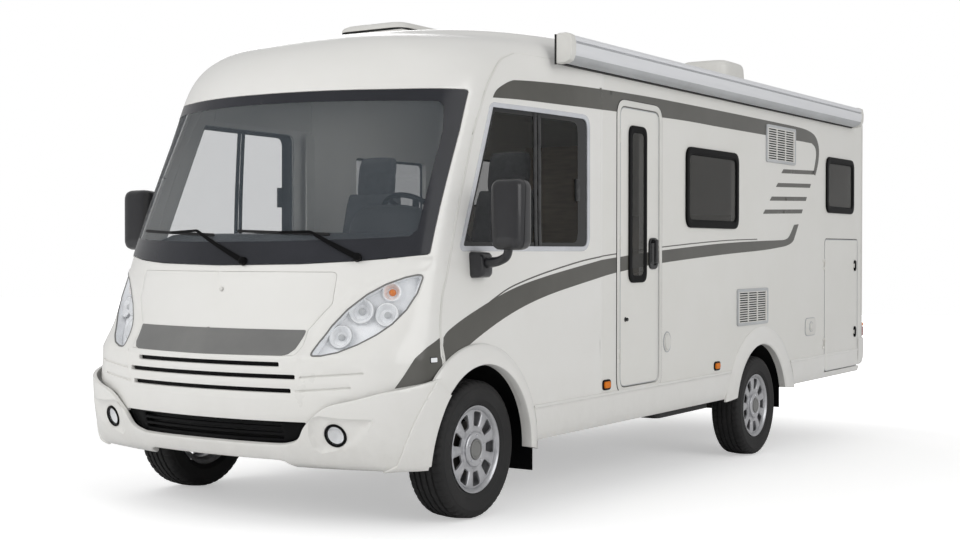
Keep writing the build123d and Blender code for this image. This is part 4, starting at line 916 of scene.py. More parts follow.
# Side windows: double acrylic panes, dark tinted, hinged at the top in rounded black frames; two on
# the left and three on the right.
rear_window = (5114, 5776, 1710, 2146, 50)
left_windows = [glazing(hole) for hole in ((2422, 3274, 1553, 2066, 55), rear_window)]
right_windows = [map(other_side, glazing(hole))
                 for hole in ((1700, 2600, 1553, 2066, 55), (3200, 3900, 1710, 2146, 50), rear_window)]
panes, rings = zip(*left_windows, *right_windows)
finish(join(*panes), "side_window_panes", tinted_glass, replaces=("side_windows",), slot="glass_tinted")
finish(join(*rings), "side_window_frames", black_plastic, replaces=("window_frames",), slot="trim_black")

# Vents and caps: pale injection-moulded grilles with rows of slots, an oval water inlet and the
# cable inlet's flap with its round lock.
vent_places = ((3815, 4400, 2052, 2320), (3277, 3842, 862, 1114))
columns, rows = 3, 13
vents = []
for y0, y1, z0, z1 in vent_places:
    wide, high = (y1 - y0 - 60) / columns, (z1 - z0 - 36) / rows
    openings = []
    for i in range(columns):
        for j in range(rows):
            left, low = y0 + 30 + i * wide, z0 + 18 + j * high
            openings.append([(left + 6, low + 3), (left + wide - 6, low + 3),
                             (left + wide - 6, low + high - 5), (left + 6, low + high - 5)])
    vents.append(wall_sheet(plate(y0, y1, z0, z1, 18), openings, out=9, thickness=9, edge=0.8, spacing=150))
finish(join(*vents), "wall_vents", cream_trim, replaces=("wall_fittings",), slot="trim_white", sharp=28)
frames = [wall_sheet(plate(*vent, 18, 5), [plate(*vent, 18, -16)], out=11, thickness=11, edge=2)
          for vent in vent_places]
finish(join(*frames), "vent_frames", trim_grey, slot="trim_grey")
water_inlet = (Matrix.Translation((half_width, 2138, 808)) @ Matrix.Diagonal((1, 0.8, 1, 1))
               @ facing((0, 0, 0), (1, 0, 0)))
cable_inlet = (4644, 4868, 724, 856, 44)
lock = facing((half_width + 7, 4756, 790), (1, 0, 0))
caps = [moved(turned([(0, 13), (44, 13), (50, 10), (52, 4), (60, 4), (64, 0)], 40), water_inlet),
        wall_sheet(plate(*cable_inlet), out=8, thickness=8, edge=4),
        moved(turned([(0, 12), (22, 12), (28, 9), (30, 3), (38, 3), (40, 0)], 32), lock)]
finish(join(*caps), "inlet_caps", cream_trim, slot="trim_white", sharp=28)
seals = [moved(turned([(60, 0), (60, 5), (66, 5), (67, 0)], 40), water_inlet),
         wall_sheet(plate(*cable_inlet, 5), [plate(*cable_inlet, -2)], out=4, thickness=4, edge=1),
         moved(turned([(36, 0), (36, 4), (41, 4), (42, 0)], 32), lock)]
finish(join(*seals), "inlet_seals", trim_grey, slot="trim_grey")
backs = [wall_sheet(plate(*vent, 10, -8), out=1.2, thickness=1, edge=0) for vent in vent_places]
finish(join(*backs), "vent_backs", black_plastic, slot="trim_black")

# Garage doors: the same sandwich as the wall, a grey edge strip and a rubber seal round each, with
# two oval black compression latches on the rear edge.
garage = (5085, 5917, 410, 1485, 40)


def on_side(bm, side):
    """The bmesh itself on the left, or its copy on the right."""
    return bm if side == "left" else other_side(bm)


for side in ("left", "right"):
    body = "garage_door_" + side
    skin = wall_sheet(plate(*garage, -1), out=1, thickness=3, edge=2.5)
    finish(on_side(skin, side), body + "_skin", wall_paint, body=body, slot="wall_white")
    lip = wall_sheet(plate(*garage, -0.5), [plate(*garage, -7)], out=1.8, thickness=2, edge=0.5)
    finish(on_side(lip, side), body + "_edge", trim_grey, body=body, slot="trim_grey")
    latches = [wall_sheet(plate(5838 - wide, 5838 + wide, z - high, z + high, radius), out=out,
                          thickness=thick, edge=edge)
               for z in (700, 1264)
               for wide, high, radius, out, thick, edge in ((26, 46, 25, 9, 9, 4), (18, 38, 17, 12, 6, 2))]
    finish(on_side(join(*latches), side), body + "_latches", black_plastic, body=body, slot="trim_black")
    seal = wall_sheet(plate(*garage, 9), [plate(*garage, -12)], out=-36, thickness=4, edge=0)
    finish(on_side(seal, side), body + "_seal", rubber, slot="trim_black")

# Skirts and arch flares: extruded alloy skirts with a rounded top rib, of which a length swings with
# each garage door, and fibreglass flares swept round the wheel arches from foot to foot.
def lofted(rows, closed=True, capped=True):
    """A skin bridged through rows of equal count, one after the other, with its ends closed."""
    bm = bmesh.new()
    verts = [[bm.verts.new(p) for p in row] for row in rows]
    chains = [[bm.edges.new(pair) for pair in zip(row, row[1:] + row[:1] if closed else row[1:])]
              for row in verts]
    for low, high in zip(chains, chains[1:]):
        bmesh.ops.bridge_loops(bm, edges=low + high)
    if capped:
        bm.faces.new(verts[0][::-1])
        bm.faces.new(verts[-1])
    bmesh.ops.recalc_face_normals(bm, faces=bm.faces)
    return bm


def extruded(profile, *ends):
    """A length of section along the body, from its closed profile of x and z. Each end is a y, or a
    function that gives y at each height."""
    return lofted([[(x, end(z) if callable(end) else end, z) for x, z in profile] for end in ends])


def arch_edge(centre, radius, way):
    """Where an arch's outer circle crosses each height."""
    return lambda z: centre[0] + way * math.sqrt(radius ** 2 - (z - centre[1]) ** 2)


front_arch, rear_arch = ((-75, 333), 585), ((3745, 147), 695)        # centre and outer radius
skirt = [(1084, 552), (1116, 552), (1121, 547), (1122, 540), (1117, 532), (1116, 524), (1117, 470),
         (1113, 410), (1106, 372), (1098, 357), (1090, 355), (1084, 360)]
low_skirt = [(1084, 404), (1113, 404), *skirt[8:]]
skirts = [extruded(skirt, arch_edge(*front_arch, 1), arch_edge(*rear_arch, -1)),
          extruded(skirt, arch_edge(*rear_arch, 1), 5078), extruded(low_skirt, 5078, 5950)]
door_profile = [*skirt[:7], (1114, 416), (1084, 416)]
tapered = extruded(door_profile, 5100, 5138)
for vert in tapered.verts:
    if vert.co.y < 5101:
        vert.co.x = min(vert.co.x, 1091)
door_skirt = join(tapered, extruded(door_profile, 5138, 5905))
for side, bm in (("left", door_skirt), ("right", other_side(door_skirt))):
    finish(bm, "garage_door_%s_skirt" % side, shell_paint, body="garage_door_" + side, slot="shell_white",
           sharp=40)


def flare(centre, radius, mouth, foot_angles, proud):
    """A band swept round an arch, lofted from its outer circle to its mouth and in again."""
    rows = []
    for angle in np.linspace(*foot_angles, 44):
        turn = Vector((math.cos(angle), math.sin(angle)))
        outer, inner = Vector(centre) + radius * turn, Vector(mouth[:2]) + mouth[2] * turn
        rows.append([(half_width + out, *outer.lerp(inner, share))
                     for share, out in ((0, -9), (0.02, 3), (0.08, 9), (0.3, proud * 0.72),
                                        (0.62, proud * 0.97), (0.86, proud), (0.96, proud - 3),
                                        (1.0, proud - 10), (1.0, -32))])
    return lofted(rows, closed=False)


flares = [flare(*front_arch, front_mouth, (math.radians(-2), math.radians(136)), 30),
          flare(*rear_arch, (3720, 226, 480), (math.radians(15.5), math.radians(164)), 24)]
bumper_foot = 321
turns = np.linspace(math.radians(134), math.radians(181), 14)
leg = [bumper.side(y + radius * math.cos(a), max(z + radius * math.sin(a), bumper_foot))
       for y, z, radius, angles in ((*front_arch[0], front_arch[1], turns), (*front_mouth, turns[::-1]))
       for a in angles]
leg = lay(flat_sheet(leg, thickness=22, edge=6, spacing=24), bumper, -9)
finish(both_sides(*skirts, *flares, leg), "skirts_and_flares", shell_paint, replaces=("skirts",),
       slot="shell_white", sharp=40)

# Awning case: a painted alloy extrusion high along the left wall, its front lid split from the case
# by a groove with a grey line in it, with moulded end caps and a rubber gasket against the wall. A
# grey strip over the case's lower face, where it turns under, is painted shade.
awning_coat = finish_of("awning_coat", (222, 223, 226), (229, 230, 233), 0.34, stretch=(1, 0.1, 6))
case = [(1112, 2434), (1148, 2437), (1170, 2444), (1186, 2453), (1198, 2464), (1206, 2480), (1211, 2502),
        (1212, 2528), (1211, 2541), (1200, 2543), (1200, 2552), (1210, 2555), (1208, 2572), (1196, 2586),
        (1178, 2592), (1140, 2592), (1120, 2588), (1112, 2576)]
finish(extruded(case, 716, 5730), "awning_case", awning_coat, replaces=("awning_cassette",),
       slot="awning_alloy", sharp=28)
cap_profile = [(1114, 2428), (1170, 2430), (1200, 2444), (1214, 2480), (1216, 2540), (1208, 2584),
               (1180, 2597), (1130, 2597), (1114, 2588)]
caps = [extruded(cap_profile, y0, y1) for y0, y1 in ((702, 758), (5700, 5746))]
for cap in caps:
    bmesh.ops.bevel(cap, geom=cap.edges[:], offset=7, segments=3, profile=0.5, affect="EDGES", material=-1)
finish(join(*caps), "awning_caps", cream_trim, slot="trim_white")
# a grey strip over the case's down-turned lower face, as painted shade, and a grey line in the groove
shade_strip_and_groove = [extruded([(1151, 2434), (1172, 2441), (1188, 2450), (1201, 2463), (1206, 2472), (1203, 2474),
                  (1196, 2464), (1184, 2454), (1168, 2446), (1150, 2440)], 758, 5700),
        extruded([(1199, 2544), (1203, 2544), (1203, 2551), (1199, 2551)], 758, 5700)]
finish(join(*shade_strip_and_groove), "awning_shade_strip_and_groove", trim_grey, slot="trim_grey")
gasket = extruded([(1108, 2424), (1116, 2424), (1116, 2590), (1108, 2590)], 698, 712)
gasket = join(gasket, extruded([(1108, 2428), (1134, 2430), (1134, 2435), (1108, 2435)], 712, 5740))
finish(gasket, "awning_gasket", rubber, slot="trim_black")

# Roof and rear wall: the roof's fibreglass sheet rolls over the side edges on the same curve as the
# cab's; the rear wall's corners are rounded.
edge_heights = np.concatenate((np.linspace(2456, 2600, 10), np.linspace(2610, 2639.9, 6)))
roof_half = [(half_width if z < 2461 else float(nose.row_at(nose.t_at(z))[5]), float(z))
             for z in edge_heights]
roof_line = roof_half + [(x, 2640.0) for x in (800, 720, 640, 560, 480, 380, 250, 120, 0)]
roof_line = roof_line + [(-x, z) for x, z in reversed(roof_line[:-1])]
roof_points = np.array(roof_line)
roof_way = np.concatenate(([0], np.cumsum(np.linalg.norm(np.diff(roof_points, axis=0), axis=1))))


def roof_at(x):
    """The way along the roof's line to a place on its flat top."""
    return float(np.interp(-x, -roof_points[:, 0], roof_way))


def roll(bm):
    """Rolls a flat sheet, drawn as way along the roof's line and y, over the roof."""
    tangents = np.gradient(roof_points, roof_way, axis=0)
    normals = np.stack((tangents[:, 1], -tangents[:, 0]), 1)
    normals /= np.linalg.norm(normals, axis=1, keepdims=True)
    for vert in bm.verts:
        way, y, height = vert.co
        x, z = (np.interp(way, roof_way, roof_points[:, k]) for k in (0, 1))
        nx, nz = (np.interp(way, roof_way, normals[:, k]) for k in (0, 1))
        vert.co = (x + nx * height, y, z + nz * height)
    return bm


hatch_hole = [(roof_at(x), y) for x, y in ((715, 3935), (385, 3935), (385, 4265), (715, 4265))]
roof_sheet = flat_sheet([(0, cab_end + 2), (roof_way[-1], cab_end + 2), (roof_way[-1], 6040), (0, 6040)],
                        [rounded(hatch_hole, 30)], spacing=70, thickness=30, edge=1.5)
finish(roll(roof_sheet), "roof_sheet", shell_paint, replaces=("roof_panel",), slot="shell_white", sharp=45)
rear_face, wall_foot = 6050.0, 548.0
rear_outline = roof_line + [(-half_width, wall_foot), (half_width, wall_foot)]
rear_sheet = flat_sheet(rear_outline, spacing=90, thickness=34, edge=12)
moved(rear_sheet, Matrix(((-1, 0, 0, 0), (0, 0, 1, rear_face), (0, 1, 0, 0), (0, 0, 0, 1))))
finish(rear_sheet, "rear_wall_skin", wall_paint, replaces=("rear_wall",), slot="wall_white")
corner = [(1080, 6016), (1111, 6000), (1113, 6030), (1106, 6046), (1094, 6054), (1078, 6054)]
posts = lofted([[(x, y, z) for x, y in corner] for z in (560, 2470)])
finish(both_sides(posts), "rear_corner_posts", cream_trim, slot="trim_white")

# Roof hatches: moulded lids, the front one low and flat, the rear one domed, each over a white frame
# with a dark gap all round, and hinged along its rear edge.
def soft_square(half_x, half_y, radius):
    """A rounded rectangle about its own middle."""
    return dense(rounded([(-half_x, -half_y), (half_x, -half_y), (half_x, half_y), (-half_x, half_y)],
                         radius), 1e6)


def soft_stack(x, y, levels, squash=1.0, capped=True):
    """A body about an upright line, from its rounded sections: height, half width, half length, radius."""
    return lofted([[(x + p.x, y + p.y * squash, height) for p in soft_square(*section)]
                   for height, *section in levels], capped=capped)


for name, x, y, half, frame_top, profile in (
        ("front", 0, 700, 240, 2662, [(0, 14), (1, 26), (8, 38), (26, 48), (60, 56), (120, 61), (200, 62)]),
        ("rear", 550, 4100, 210, 2700, [(0, 14), (2, 40), (5, 90), (10, 112), (22, 128), (50, 140),
                                        (100, 146), (165, 149)])):
    lid = soft_stack(x, y, [(frame_top + height, half - inset, half - inset, max(95 - inset * 0.4, 8))
                            for inset, height in profile])
    finish(lid, name + "_hatch_lid_shell", cream_trim, body=name + "_hatch_lid",
           replaces=(name + "_hatch_lid",), slot="trim_grey", sharp=50)
    gap = soft_stack(x, y, [(frame_top + height, half - 12, half - 12, 50) for height in (-2, 13.5)],
                     capped=False)
    finish(gap, name + "_hatch_seal", rubber, slot="trim_black")
    flange = soft_stack(x, y, [(z, half + out, half + out, 60) for z, out in
                               ((2640, 26), (2643, 25), (2648, 8), (frame_top - 6, 2), (frame_top, -1))],
                        capped=False)
    finish(flange, name + "_hatch_flange", cream_trim, slot="trim_grey")

# Mirrors: tall black housings on a swan-neck arm from a block under the cab window, with the glass
# let into the rear face.
mirror_grey = finish_of("mirror_grey", (28, 28, 31), (38, 38, 41), 0.3, grain=0.2, grain_scale=800,
                        coat=0.3)
bright_metal = finish_of("bright_metal", (200, 202, 206), (226, 228, 232), 0.16, scale=8, metallic=1.0)


def tube(points, radii, count=14, steps=5):
    """A round arm along a smooth line, its radius given at each point."""
    path = curved(points, False, steps)
    sizes = np.interp(np.arange(len(path)) / steps, range(len(radii)), radii)
    loops, up = [], Vector((0.13, 0.21, 1)).normalized()
    for i, point in enumerate(path):
        along = (path[min(i + 1, len(path) - 1)] - path[max(i - 1, 0)]).normalized()
        side = along.cross(up)
        side = (side if side.length > 0.05 else along.cross(Vector((1, 0, 0)))).normalized()
        up = side.cross(along).normalized()
        loops.append([point + (side * math.cos(a) + up * math.sin(a)) * sizes[i]
                      for a in np.linspace(0, math.tau, count, endpoint=False)])
    return lofted(loops)


def mirror_loop(inset, y, radius=52):
    """The housing's outline at y, drawn in by the inset."""
    x0, x1, z0, z1 = 1212 + inset, 1394 - inset, 1394 + inset, 1752 - inset
    return [(p.x, y, p.y) for p in rounded([(x0, z0), (x1, z0), (x1, z1), (x0, z1)],
                                           max(radius - inset * 0.5, 10))]


housing = lofted([mirror_loop(inset, y) for inset, y in ((64, -152), (36, -149), (18, -142), (8, -130),
                                                         (2, -112), (0, -88), (1, -40), (5, -24), (9, -20),
                                                         (14, -21), (16, -30))])
neck = tube([(1296, -84, 1430), (1292, -82, 1394), (1272, -74, 1360), (1216, -58, 1338), (1150, -44, 1330),
             (1110, -38, 1326)], [22, 22, 23, 24, 28, 32])
base = lofted([[(x, -36 + p.x, 1318 + p.y)
                for p in rounded([(-r, -r - 2), (r, -r - 2), (r, r + 2), (-r, r + 2)], 22)]
               for x, r in ((1060, 66), (1118, 62), (1134, 52), (1142, 36))])
finish(both_sides(housing, neck, base), "mirror_housings", mirror_grey, replaces=("mirrors",),
       slot="trim_black", sharp=40)
split = lofted([mirror_loop(-0.6, y) for y in (-93, -88)], capped=False)
for vert in split.verts:
    vert.co.y += (vert.co.z - 1570) * 0.05
finish(both_sides(split), "mirror_seams", rubber, slot="trim_black")
glass = lofted([mirror_loop(inset, y, 44) for inset, y in ((17, -26), (17, -22.5))])
finish(both_sides(glass), "mirror_glasses", bright_metal, slot="trim_grey")

# Wipers: black pressed arms on two spindles at the foot of the windscreen, with rubber blades, and a
# washer nozzle on the service flap.
wipers = [((153, 1337), (-211, 1491), (-790, 1498), (-80, 1470)),
          ((741, 1357), (492, 1482), (79, 1489), (589, 1471))]
arms, blades = [], []


def bar_outline(start, stop, first, last):
    """A straight bar, given by its ends and its half width at each."""
    run = (Vector(stop) - Vector(start)).normalized()
    across = Vector((-run.y, run.x))
    return [Vector(start) + across * first, Vector(start) - across * first, Vector(stop) - across * last,
            Vector(stop) + across * last]


for pivot, elbow, tip, heel in wipers:
    arms.append(lay(flat_sheet(ahead(bar_outline(pivot, elbow, 13, 7), 4), thickness=9, edge=2.5), nose,
                    -15))
    arms.append(moved(turned([(0, 26), (12, 25), (19, 20), (22, 8), (23, 0)], 24),
                      nose_facing(*pivot, 0, lean=1)))
    middle = Vector(tip).lerp(Vector(heel), 0.5)
    arms.append(lay(flat_sheet(ahead(bar_outline(elbow, middle, 6, 5), 3), thickness=6, edge=1.5), nose,
                    -15.5))
    blades.append(lay(flat_sheet(ahead(bar_outline(tip, heel, 7, 7), 4), thickness=5, edge=1.5), nose, -9))
    blades.append(lay(flat_sheet(ahead(bar_outline(tip, heel, 2.5, 2.5)), thickness=6, edge=0), nose, -4.6))
finish(join(*arms), "wiper_arms", black_plastic, replaces=("wipers",), slot="trim_black")
finish(join(*blades), "wiper_blades", rubber, slot="trim_black")
nozzle = moved(turned([(0, 7), (6, 6), (10, 3), (11, 0)], 20), nose_facing(39, 1197, 0, lean=1))
finish(nozzle, "washer_nozzle", cream_trim, body="bonnet", slot="trim_grey")

# Side markers: amber reflectors in black bases on the skirt's top, and a clear position lamp on the
# nose moulding above each front wheel.
lenses, bases = [], []
for y, z in ((1313, 598), (2930, 601)):
    bases.append(wall_sheet(plate(y - 52, y + 52, z - 31, z + 31, 28), out=6, thickness=6, edge=1.5))
    lenses.append(wall_sheet(plate(y - 40, y + 40, z - 20, z + 20, 19), out=13, thickness=8, edge=4))
finish(both_sides(*lenses), "marker_lenses", amber_lens, replaces=("side_markers",), slot="lamp_amber")
finish(both_sides(*bases), "marker_bases", black_plastic, slot="trim_black")
lamp_at = beside(((-474, 842), (-428, 842), (-428, 870), (-474, 870)))
position_base = lay(flat_sheet(rounded(lamp_at, 6), thickness=4, edge=1), nose, -3)
finish(both_sides(position_base), "position_lamp_bases", black_plastic, slot="trim_black")
position_lens = lay(flat_sheet(rounded(grown(lamp_at, -4), 5), thickness=5, edge=2), nose, -7)
# the lens takes the headlamp housings' near-white finish: painted reflection
finish(both_sides(position_lens), "position_lamps", lamp_body_painted_reflection, slot="lamp_clear")

# Rear lamps: a red lens with an amber one over it, low on each corner of the rear wall, above the
# bumper.
red_lens = finish_of("red_lens", (128, 8, 8), (150, 14, 13), 0.25, scale=30, specular=0.3)


def rear_plate(x0, x1, z0, z1, radius, out, thickness, edge, spacing=60.0):
    """A rounded plate on the rear wall's face."""
    bm = flat_sheet(rounded([(x0, z0), (x1, z0), (x1, z1), (x0, z1)], radius), thickness=thickness,
                    edge=edge, spacing=spacing)
    moved(bm, Matrix(((1, 0, 0, 0), (0, 0, 1, rear_face + out), (0, 1, 0, 0), (0, 0, 0, 1))))
    bmesh.ops.reverse_faces(bm, faces=bm.faces)
    return bm


for name, material, z0, z1, replaced in (("stop", red_lens, 652, 735, ("rear_lamps",)),
                                         ("turn", amber_lens, 737, 768, ())):
    lens = rear_plate(958, 1106, z0, z1, 10, 44, 44, 8, spacing=40)
    finish(both_sides(lens), "rear_%s_lamps" % name, material, replaces=replaced, slot="lamp_red")

# Rear wall fittings: a high brake lamp on its black base, and a bare number-plate panel with two
# lamps over it.
finish(rear_plate(-260, 260, 2356, 2392, 16, 24, 24, 6), "high_brake_lamp", red_lens, slot="lamp_red")
finish(rear_plate(-280, 280, 2346, 2402, 24, 10, 10, 3), "high_brake_lamp_base", black_plastic,
       slot="trim_black")
finish(rear_plate(-300, 300, 820, 980, 20, 8, 8, 3), "number_plate_recess", trim_grey, slot="trim_grey")
finish(rear_plate(-262, 262, 842, 954, 8, 10, 3, 1), "number_plate_blank", cream_trim, slot="trim_white")
finish(join(*[rear_plate(x - 34, x + 34, 1000, 1034, 8, 22, 22, 4) for x in (-150, 150)]), "plate_lamps",
       black_plastic, slot="trim_black")

# Rear bumper: a moulded beam wrapped round the corners under the rear wall, its ends turned forward
# to the garage doors.
bumper_path = [(1118, 5926), (1118, 6046), (1108, 6084), (1080, 6108), (1030, 6118)]
bumper_path = curved(bumper_path, False) + [Vector((x, 6120)) for x in (700, 350, 0, -350, -700)]
bumper_path += [Vector((-p.x, p.y)) for p in reversed(bumper_path[:-5])]
beam_loops = []
for i, point in enumerate(bumper_path):
    along = (bumper_path[min(i + 1, len(bumper_path) - 1)] - bumper_path[max(i - 1, 0)]).normalized()
    normal = Vector((along.y, -along.x))
    beam_loops.append([(point.x + normal.x * out, point.y + normal.y * out, z)
                       for out, z in ((-34, 640), (-8, 640), (-1, 634), (0, 618), (0, 520), (-4, 460),
                                      (-14, 424), (-30, 408), (-50, 406), (-50, 636))])
finish(lofted(beam_loops), "rear_bumper_skin", shell_paint, replaces=("rear_bumper",), slot="shell_white",
       sharp=40)

# Wheels: steel-belted tyres with ribs and cut shoulders, on silver rims with nine windows, a bare
# domed cap and five nuts.
tyre_rubber = finish_of("tyre_rubber", (22, 22, 23), (35, 34, 34), 0.72, scale=5, grain=0.6,
                        grain_scale=260)
rim_silver = finish_of("rim_silver", (176, 177, 180), (196, 196, 199), 0.3, scale=14, grain=0.1,
                       metallic=0.65, coat=0.3)
tyre_profile = [(226, -78), (230, -90), (240, -97), (252, -103), (256, -105.5), (262, -105), (292, -111),
                (318, -110.5), (322, -107), (334, -105), (345, -98), (352, -90), (356, -80), (358, -60),
                (350, -57), (350, -50), (359, -47), (361, -25), (352, -22), (352, -15), (361.5, -12)]
tyre_profile += [(radius, -x) for radius, x in reversed(tyre_profile)]
tyre_columns = 192
shoulder_cut, rib_cut = 6.0, 3.5


def make_tyre():
    bm = turned([(radius, -x) for radius, x in tyre_profile], tyre_columns)
    for vert in bm.verts:
        radius = math.hypot(vert.co.x, vert.co.y)
        column = round(math.atan2(vert.co.y, vert.co.x) / math.tau * tyre_columns) % tyre_columns
        height = abs(vert.co.z)
        cut = 0.0
        if 55 < height < 100 and radius > 340:
            cut = shoulder_cut if column % 4 == (0 if vert.co.z > 0 else 2) else 0.0
        elif height < 50 and radius > 356 and column % 6 == (3 if vert.co.z > 0 else 0):
            cut = rib_cut
        vert.co.xy *= 1 - cut / radius
    return bm


rim_barrel = [(226, 88), (227, 94), (222, 95), (216, 91), (210, 84), (205, 76), (203, 62), (200, 40),
              (186, 12), (186, -66), (203, -78), (207, -88), (224, -95), (227, -92)]


window_count = 9
window_corners = [(122, -0.17), (122, 0.17), (197, 0.185), (197, -0.185)]       # radius and angle


def make_rim():
    windows = []
    for middle in (math.tau * k / window_count for k in range(window_count)):
        corners = [(r * math.cos(middle + a), r * math.sin(middle + a)) for r, a in window_corners]
        windows.append(rounded(corners, [10, 10, 14, 14]))
    wheel_disc = flat_sheet(disc(0, 0, 206, 90), windows, spacing=13, thickness=12, edge=4)
    for vert in wheel_disc.verts:
        radius = math.hypot(vert.co.x, vert.co.y)
        turn = math.cos(window_count * math.atan2(vert.co.y, vert.co.x) + math.pi)
        vert.co.z += np.interp(radius, (0, 88, 98, 120, 170, 198, 206), (86, 86, 76, 78, 80, 80, 78))
        vert.co.z += 6 * max(turn, 0) * np.interp(radius, (98, 120, 180, 200), (0, 1, 1, 0))
    hub_ring = turned([(92, 78), (91, 90), (86, 94), (58, 95), (54, 92), (53, 80)], 72)
    return join(turned(rim_barrel, 72), wheel_disc, hub_ring)


def make_nuts():
    nuts = []
    for k in range(5):
        a = math.tau * k / 5 + 0.3
        place = Matrix.Translation((72 * math.cos(a), 72 * math.sin(a), 0))
        nuts.append(moved(turned([(0, 98), (5, 97.5), (7, 95), (7, 88)], 6), place))
    return join(*nuts)


def make_cap():
    return join(turned([(52, 78), (52, 97), (49, 99), (42, 99), (40, 96)], 48),
                turned([(41, 92), (39, 97), (30, 98.5), (14, 99.5), (0, 100)], 48))


wheelbase, hub_height = 3700.0, 362.0
for end, x, y in (("front", 945.0, 0.0), ("rear", 983.0, wheelbase)):
    place = (Matrix.Translation((x, front_axle_y / MM + y, hub_height))
             @ Matrix(((0, 0, 1, 0), (1, 0, 0, 0), (0, 1, 0, 0), (0, 0, 0, 1))))
    for side in ("left", "right"):
        corner = "%s_%s" % (end, side)
        for kind, maker, material, slot_name, replaced in (
                ("tyre", make_tyre, tyre_rubber, "tyre", ("tyre_" + corner,)),
                ("rim", make_rim, rim_silver, "rim_alloy", ("rim_" + corner,)),
                ("nuts", make_nuts, bright_metal, "rim_alloy", ()),
                ("cap", make_cap, strip_grey, "trim_grey", ())):
            finish(on_side(moved(maker(), place), side), "%s_%s_dressed" % (kind, corner), material,
                   body="wheel_" + corner, level_body=False, replaces=replaced, slot=slot_name, sharp=32)

# Cab interior: seats padded and covered in woven cloth on vinyl bases, a steering wheel on its column,
# an instrument hood and vents on the dashboard, folded blinds and a pale lining.
dash_vinyl = finish_of("dash_vinyl", (52, 52, 54), (68, 68, 70), 0.6, scale=6, grain=0.6, grain_scale=420)
seat_cloth = finish_of("seat_cloth", (70, 71, 74), (88, 89, 92), 0.85, scale=26, grain=0.9, grain_scale=650)


def pad_block(x, y0, y1, z0, z1, half, lean=0.0, radius=60):
    """A cushion's starting form: a rounded block, leaning back with height."""
    loops = []
    for share in np.linspace(0, 1, 9):
        pinch = 16 * (2 * share - 1) ** 4
        loops.append([(x + p.x, (y0 + y1) / 2 + p.y + lean * share, z0 + (z1 - z0) * share)
                      for p in soft_square(half - pinch, (y1 - y0) / 2 - pinch, radius)])
    return lofted(loops)


def cushion(bm, name, cap):
    """Swells a cushion as cloth under pressure, by no more than the cap, in metres."""
    bmesh.ops.transform(bm, matrix=body_to_world @ Matrix.Scale(MM, 4), verts=bm.verts)
    mesh = bpy.data.meshes.new(name)
    bm.to_mesh(mesh)
    bm.free()
    piece = bpy.data.objects.new(name, mesh)
    bpy.context.scene.collection.objects.link(piece)
    remesh = piece.modifiers.new("even", "REMESH")
    remesh.mode = "VOXEL"
    remesh.voxel_size = 0.014
    scene = bpy.context.scene
    graph = bpy.context.evaluated_depsgraph_get()
    rest = bpy.data.meshes.new_from_object(piece.evaluated_get(graph))
    piece.modifiers.clear()
    piece.data = rest
    start = [v.co.copy() for v in rest.vertices]
    cloth = piece.modifiers.new("cloth", "CLOTH")
    cloth.settings.use_pressure = True
    cloth.settings.uniform_pressure_force = 4.0
    cloth.settings.effector_weights.gravity = 0.0
    cloth.settings.quality = 5
    for step in range(1, 15):
        scene.frame_set(step)
    graph = bpy.context.evaluated_depsgraph_get()
    swollen = bpy.data.meshes.new_from_object(piece.evaluated_get(graph))
    piece.modifiers.clear()
    piece.data = swollen
    for vert, before in zip(swollen.vertices, start):
        run = vert.co - before
        if run.length > cap:
            vert.co = before + run.normalized() * cap
    scene.frame_set(1)
    for polygon in piece.data.polygons:
        polygon.use_smooth = True
    piece.data.materials.clear()
    piece.data.materials.append(seat_cloth)
    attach(piece, "body")


for side, x in (("left", 500), ("right", -500)):
    cushion(pad_block(x, 575, 1070, 1112, 1218, 238), "seat_cushion_" + side, 0.012)
    cushion(pad_block(x, 1020, 1110, 1225, 1765, 218, lean=120, radius=40), "seat_back_" + side, 0.012)
    cushion(pad_block(x, 1142, 1236, 1722, 1985, 140, lean=34, radius=46), "seat_headrest_" + side,
            0.01)
base_levels = [(z, half, half, 60) for z, half in ((662, 190), (700, 180), (1060, 150), (1106, 200))]
bases = [soft_stack(x, 860, base_levels) for x in (500, -500)]
finish(join(*bases), "seat_bases", dash_vinyl, replaces=("cab_seats",), slot="dash_grey")
wheel_turn = Matrix.Translation((500, 215, 1560)) @ Matrix.Rotation(math.radians(-45), 4, "X")
grip_radius, ring_radius = 15, 188
grip = [(ring_radius + grip_radius * math.cos(b), grip_radius * math.sin(b))
        for b in np.linspace(0, math.tau, 12, endpoint=False)]
ring = lofted([[(r * math.cos(a), r * math.sin(a), z) for r, z in grip]
               for a in np.linspace(0, math.tau, 49)], capped=False)
hub = soft_stack(0, 0, [(z, half, half * 0.8, 30) for z, half in ((-30, 50), (10, 74), (22, 66), (27, 30))])
spokes = [lofted([[(p.x + sx * r, p.y + sy * r, z) for p in soft_square(16, 16, 6)]
                  for r, z in ((50, 4), (180, 0))])
          for sx, sy in ((1, 0.1), (-1, 0.1), (0.5, -0.86), (-0.5, -0.86))]
wheel_body = moved(join(ring, hub, *spokes), wheel_turn)
column = tube([(500, 20, 1380), (500, 120, 1470), (500, 205, 1550)], [42, 36, 30], 16, 4)
finish(join(wheel_body, column), "steering_wheel_dressed", black_plastic, replaces=("steering_wheel",),
       slot="trim_black")
hood_levels = ((1478, 238), (1540, 230), (1590, 204), (1620, 158), (1636, 84))
hood = soft_stack(500, 10, [(z, half, half * 0.62, 70) for z, half in hood_levels], squash=0.7)
vent_levels = [(1440, 74, 40, 16), (1480, 70, 40, 16), (1490, 60, 40, 16)]
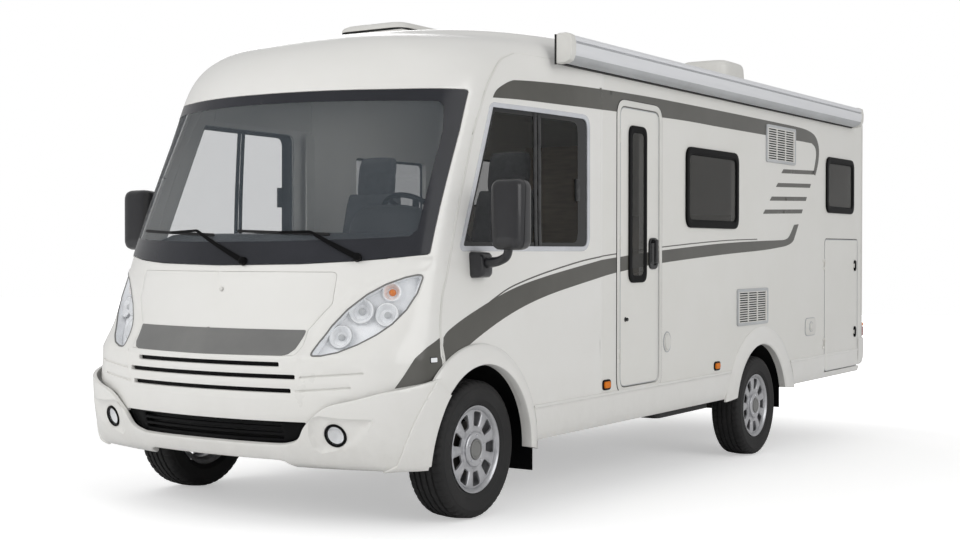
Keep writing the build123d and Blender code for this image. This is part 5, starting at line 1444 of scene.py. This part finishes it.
vents = [soft_stack(x, 60, vent_levels, squash=0.4) for x in (-820, -250, 120, 860)]
finish(join(hood, *vents), "dash_hood_and_vents", dash_vinyl, slot="dash_grey")
blinds = []
for x in (1035, -1035):
    folds = [(x + 9 * (-1) ** k, 1130 + 10 * k) for k in range(10)]
    folds += [(x + 9 * (-1) ** k + 3, 1130 + 10 * k) for k in reversed(range(10))]
    blinds.append(lofted([[(px, py, z) for px, py in folds] for z in (1400, 2160)], capped=False))
finish(join(*blinds), "cab_side_blinds", cream_trim, slot="trim_white")
lining = lay(flat_sheet(beside(((1290, 2180), (250, 2180), (330, 2400), (420, 2440), (1290, 2440))),
                        thickness=3, edge=0), nose, 24)
finish(both_sides(lining), "cab_lining", cream_trim, slot="trim_white")

# What shows of the CAD's own pieces: painted sandwich walls, floor, frame, running gear, tanks and
# furniture, each in its own finish.
dark_steel = finish_of("dark_steel", (24, 24, 24), (48, 45, 42), 0.6, scale=9, grain=0.5, grain_scale=200)
cast_metal = finish_of("cast_metal", (52, 50, 48), (84, 80, 75), 0.62, scale=12, grain=0.7, grain_scale=260,
                       metallic=0.4)
board = finish_of("board", (122, 110, 95), (144, 131, 114), 0.45, scale=5, stretch=(1, 1, 9), grain=0.2,
                  grain_scale=90)
floor_cover = finish_of("floor_cover", (92, 86, 80), (112, 106, 98), 0.6, scale=30, grain=0.2)
tank_plastic = finish_of("tank_plastic", (30, 30, 31), (46, 45, 44), 0.62, scale=7, grain=0.4,
                         grain_scale=120)
for names, material in (
        (("side_walls", "entry_door", "garage_door_left", "garage_door_right"), wall_paint),
        (("roof_hatch_frames",), cream_trim), (("floor_panel",), floor_cover),
        (("wheel_houses",), black_plastic), (("chassis_frame",), dark_steel),
        (("water_tanks",), tank_plastic),
        (("engine_block", "front_subframe", "rear_axle", "knuckle_left", "knuckle_right"), cast_metal),
        (("dashboard",), dash_vinyl), (("furniture",), board)):
    for name in names:
        frame["nodes"][name].data.materials.clear()
        frame["nodes"][name].data.materials.append(material)
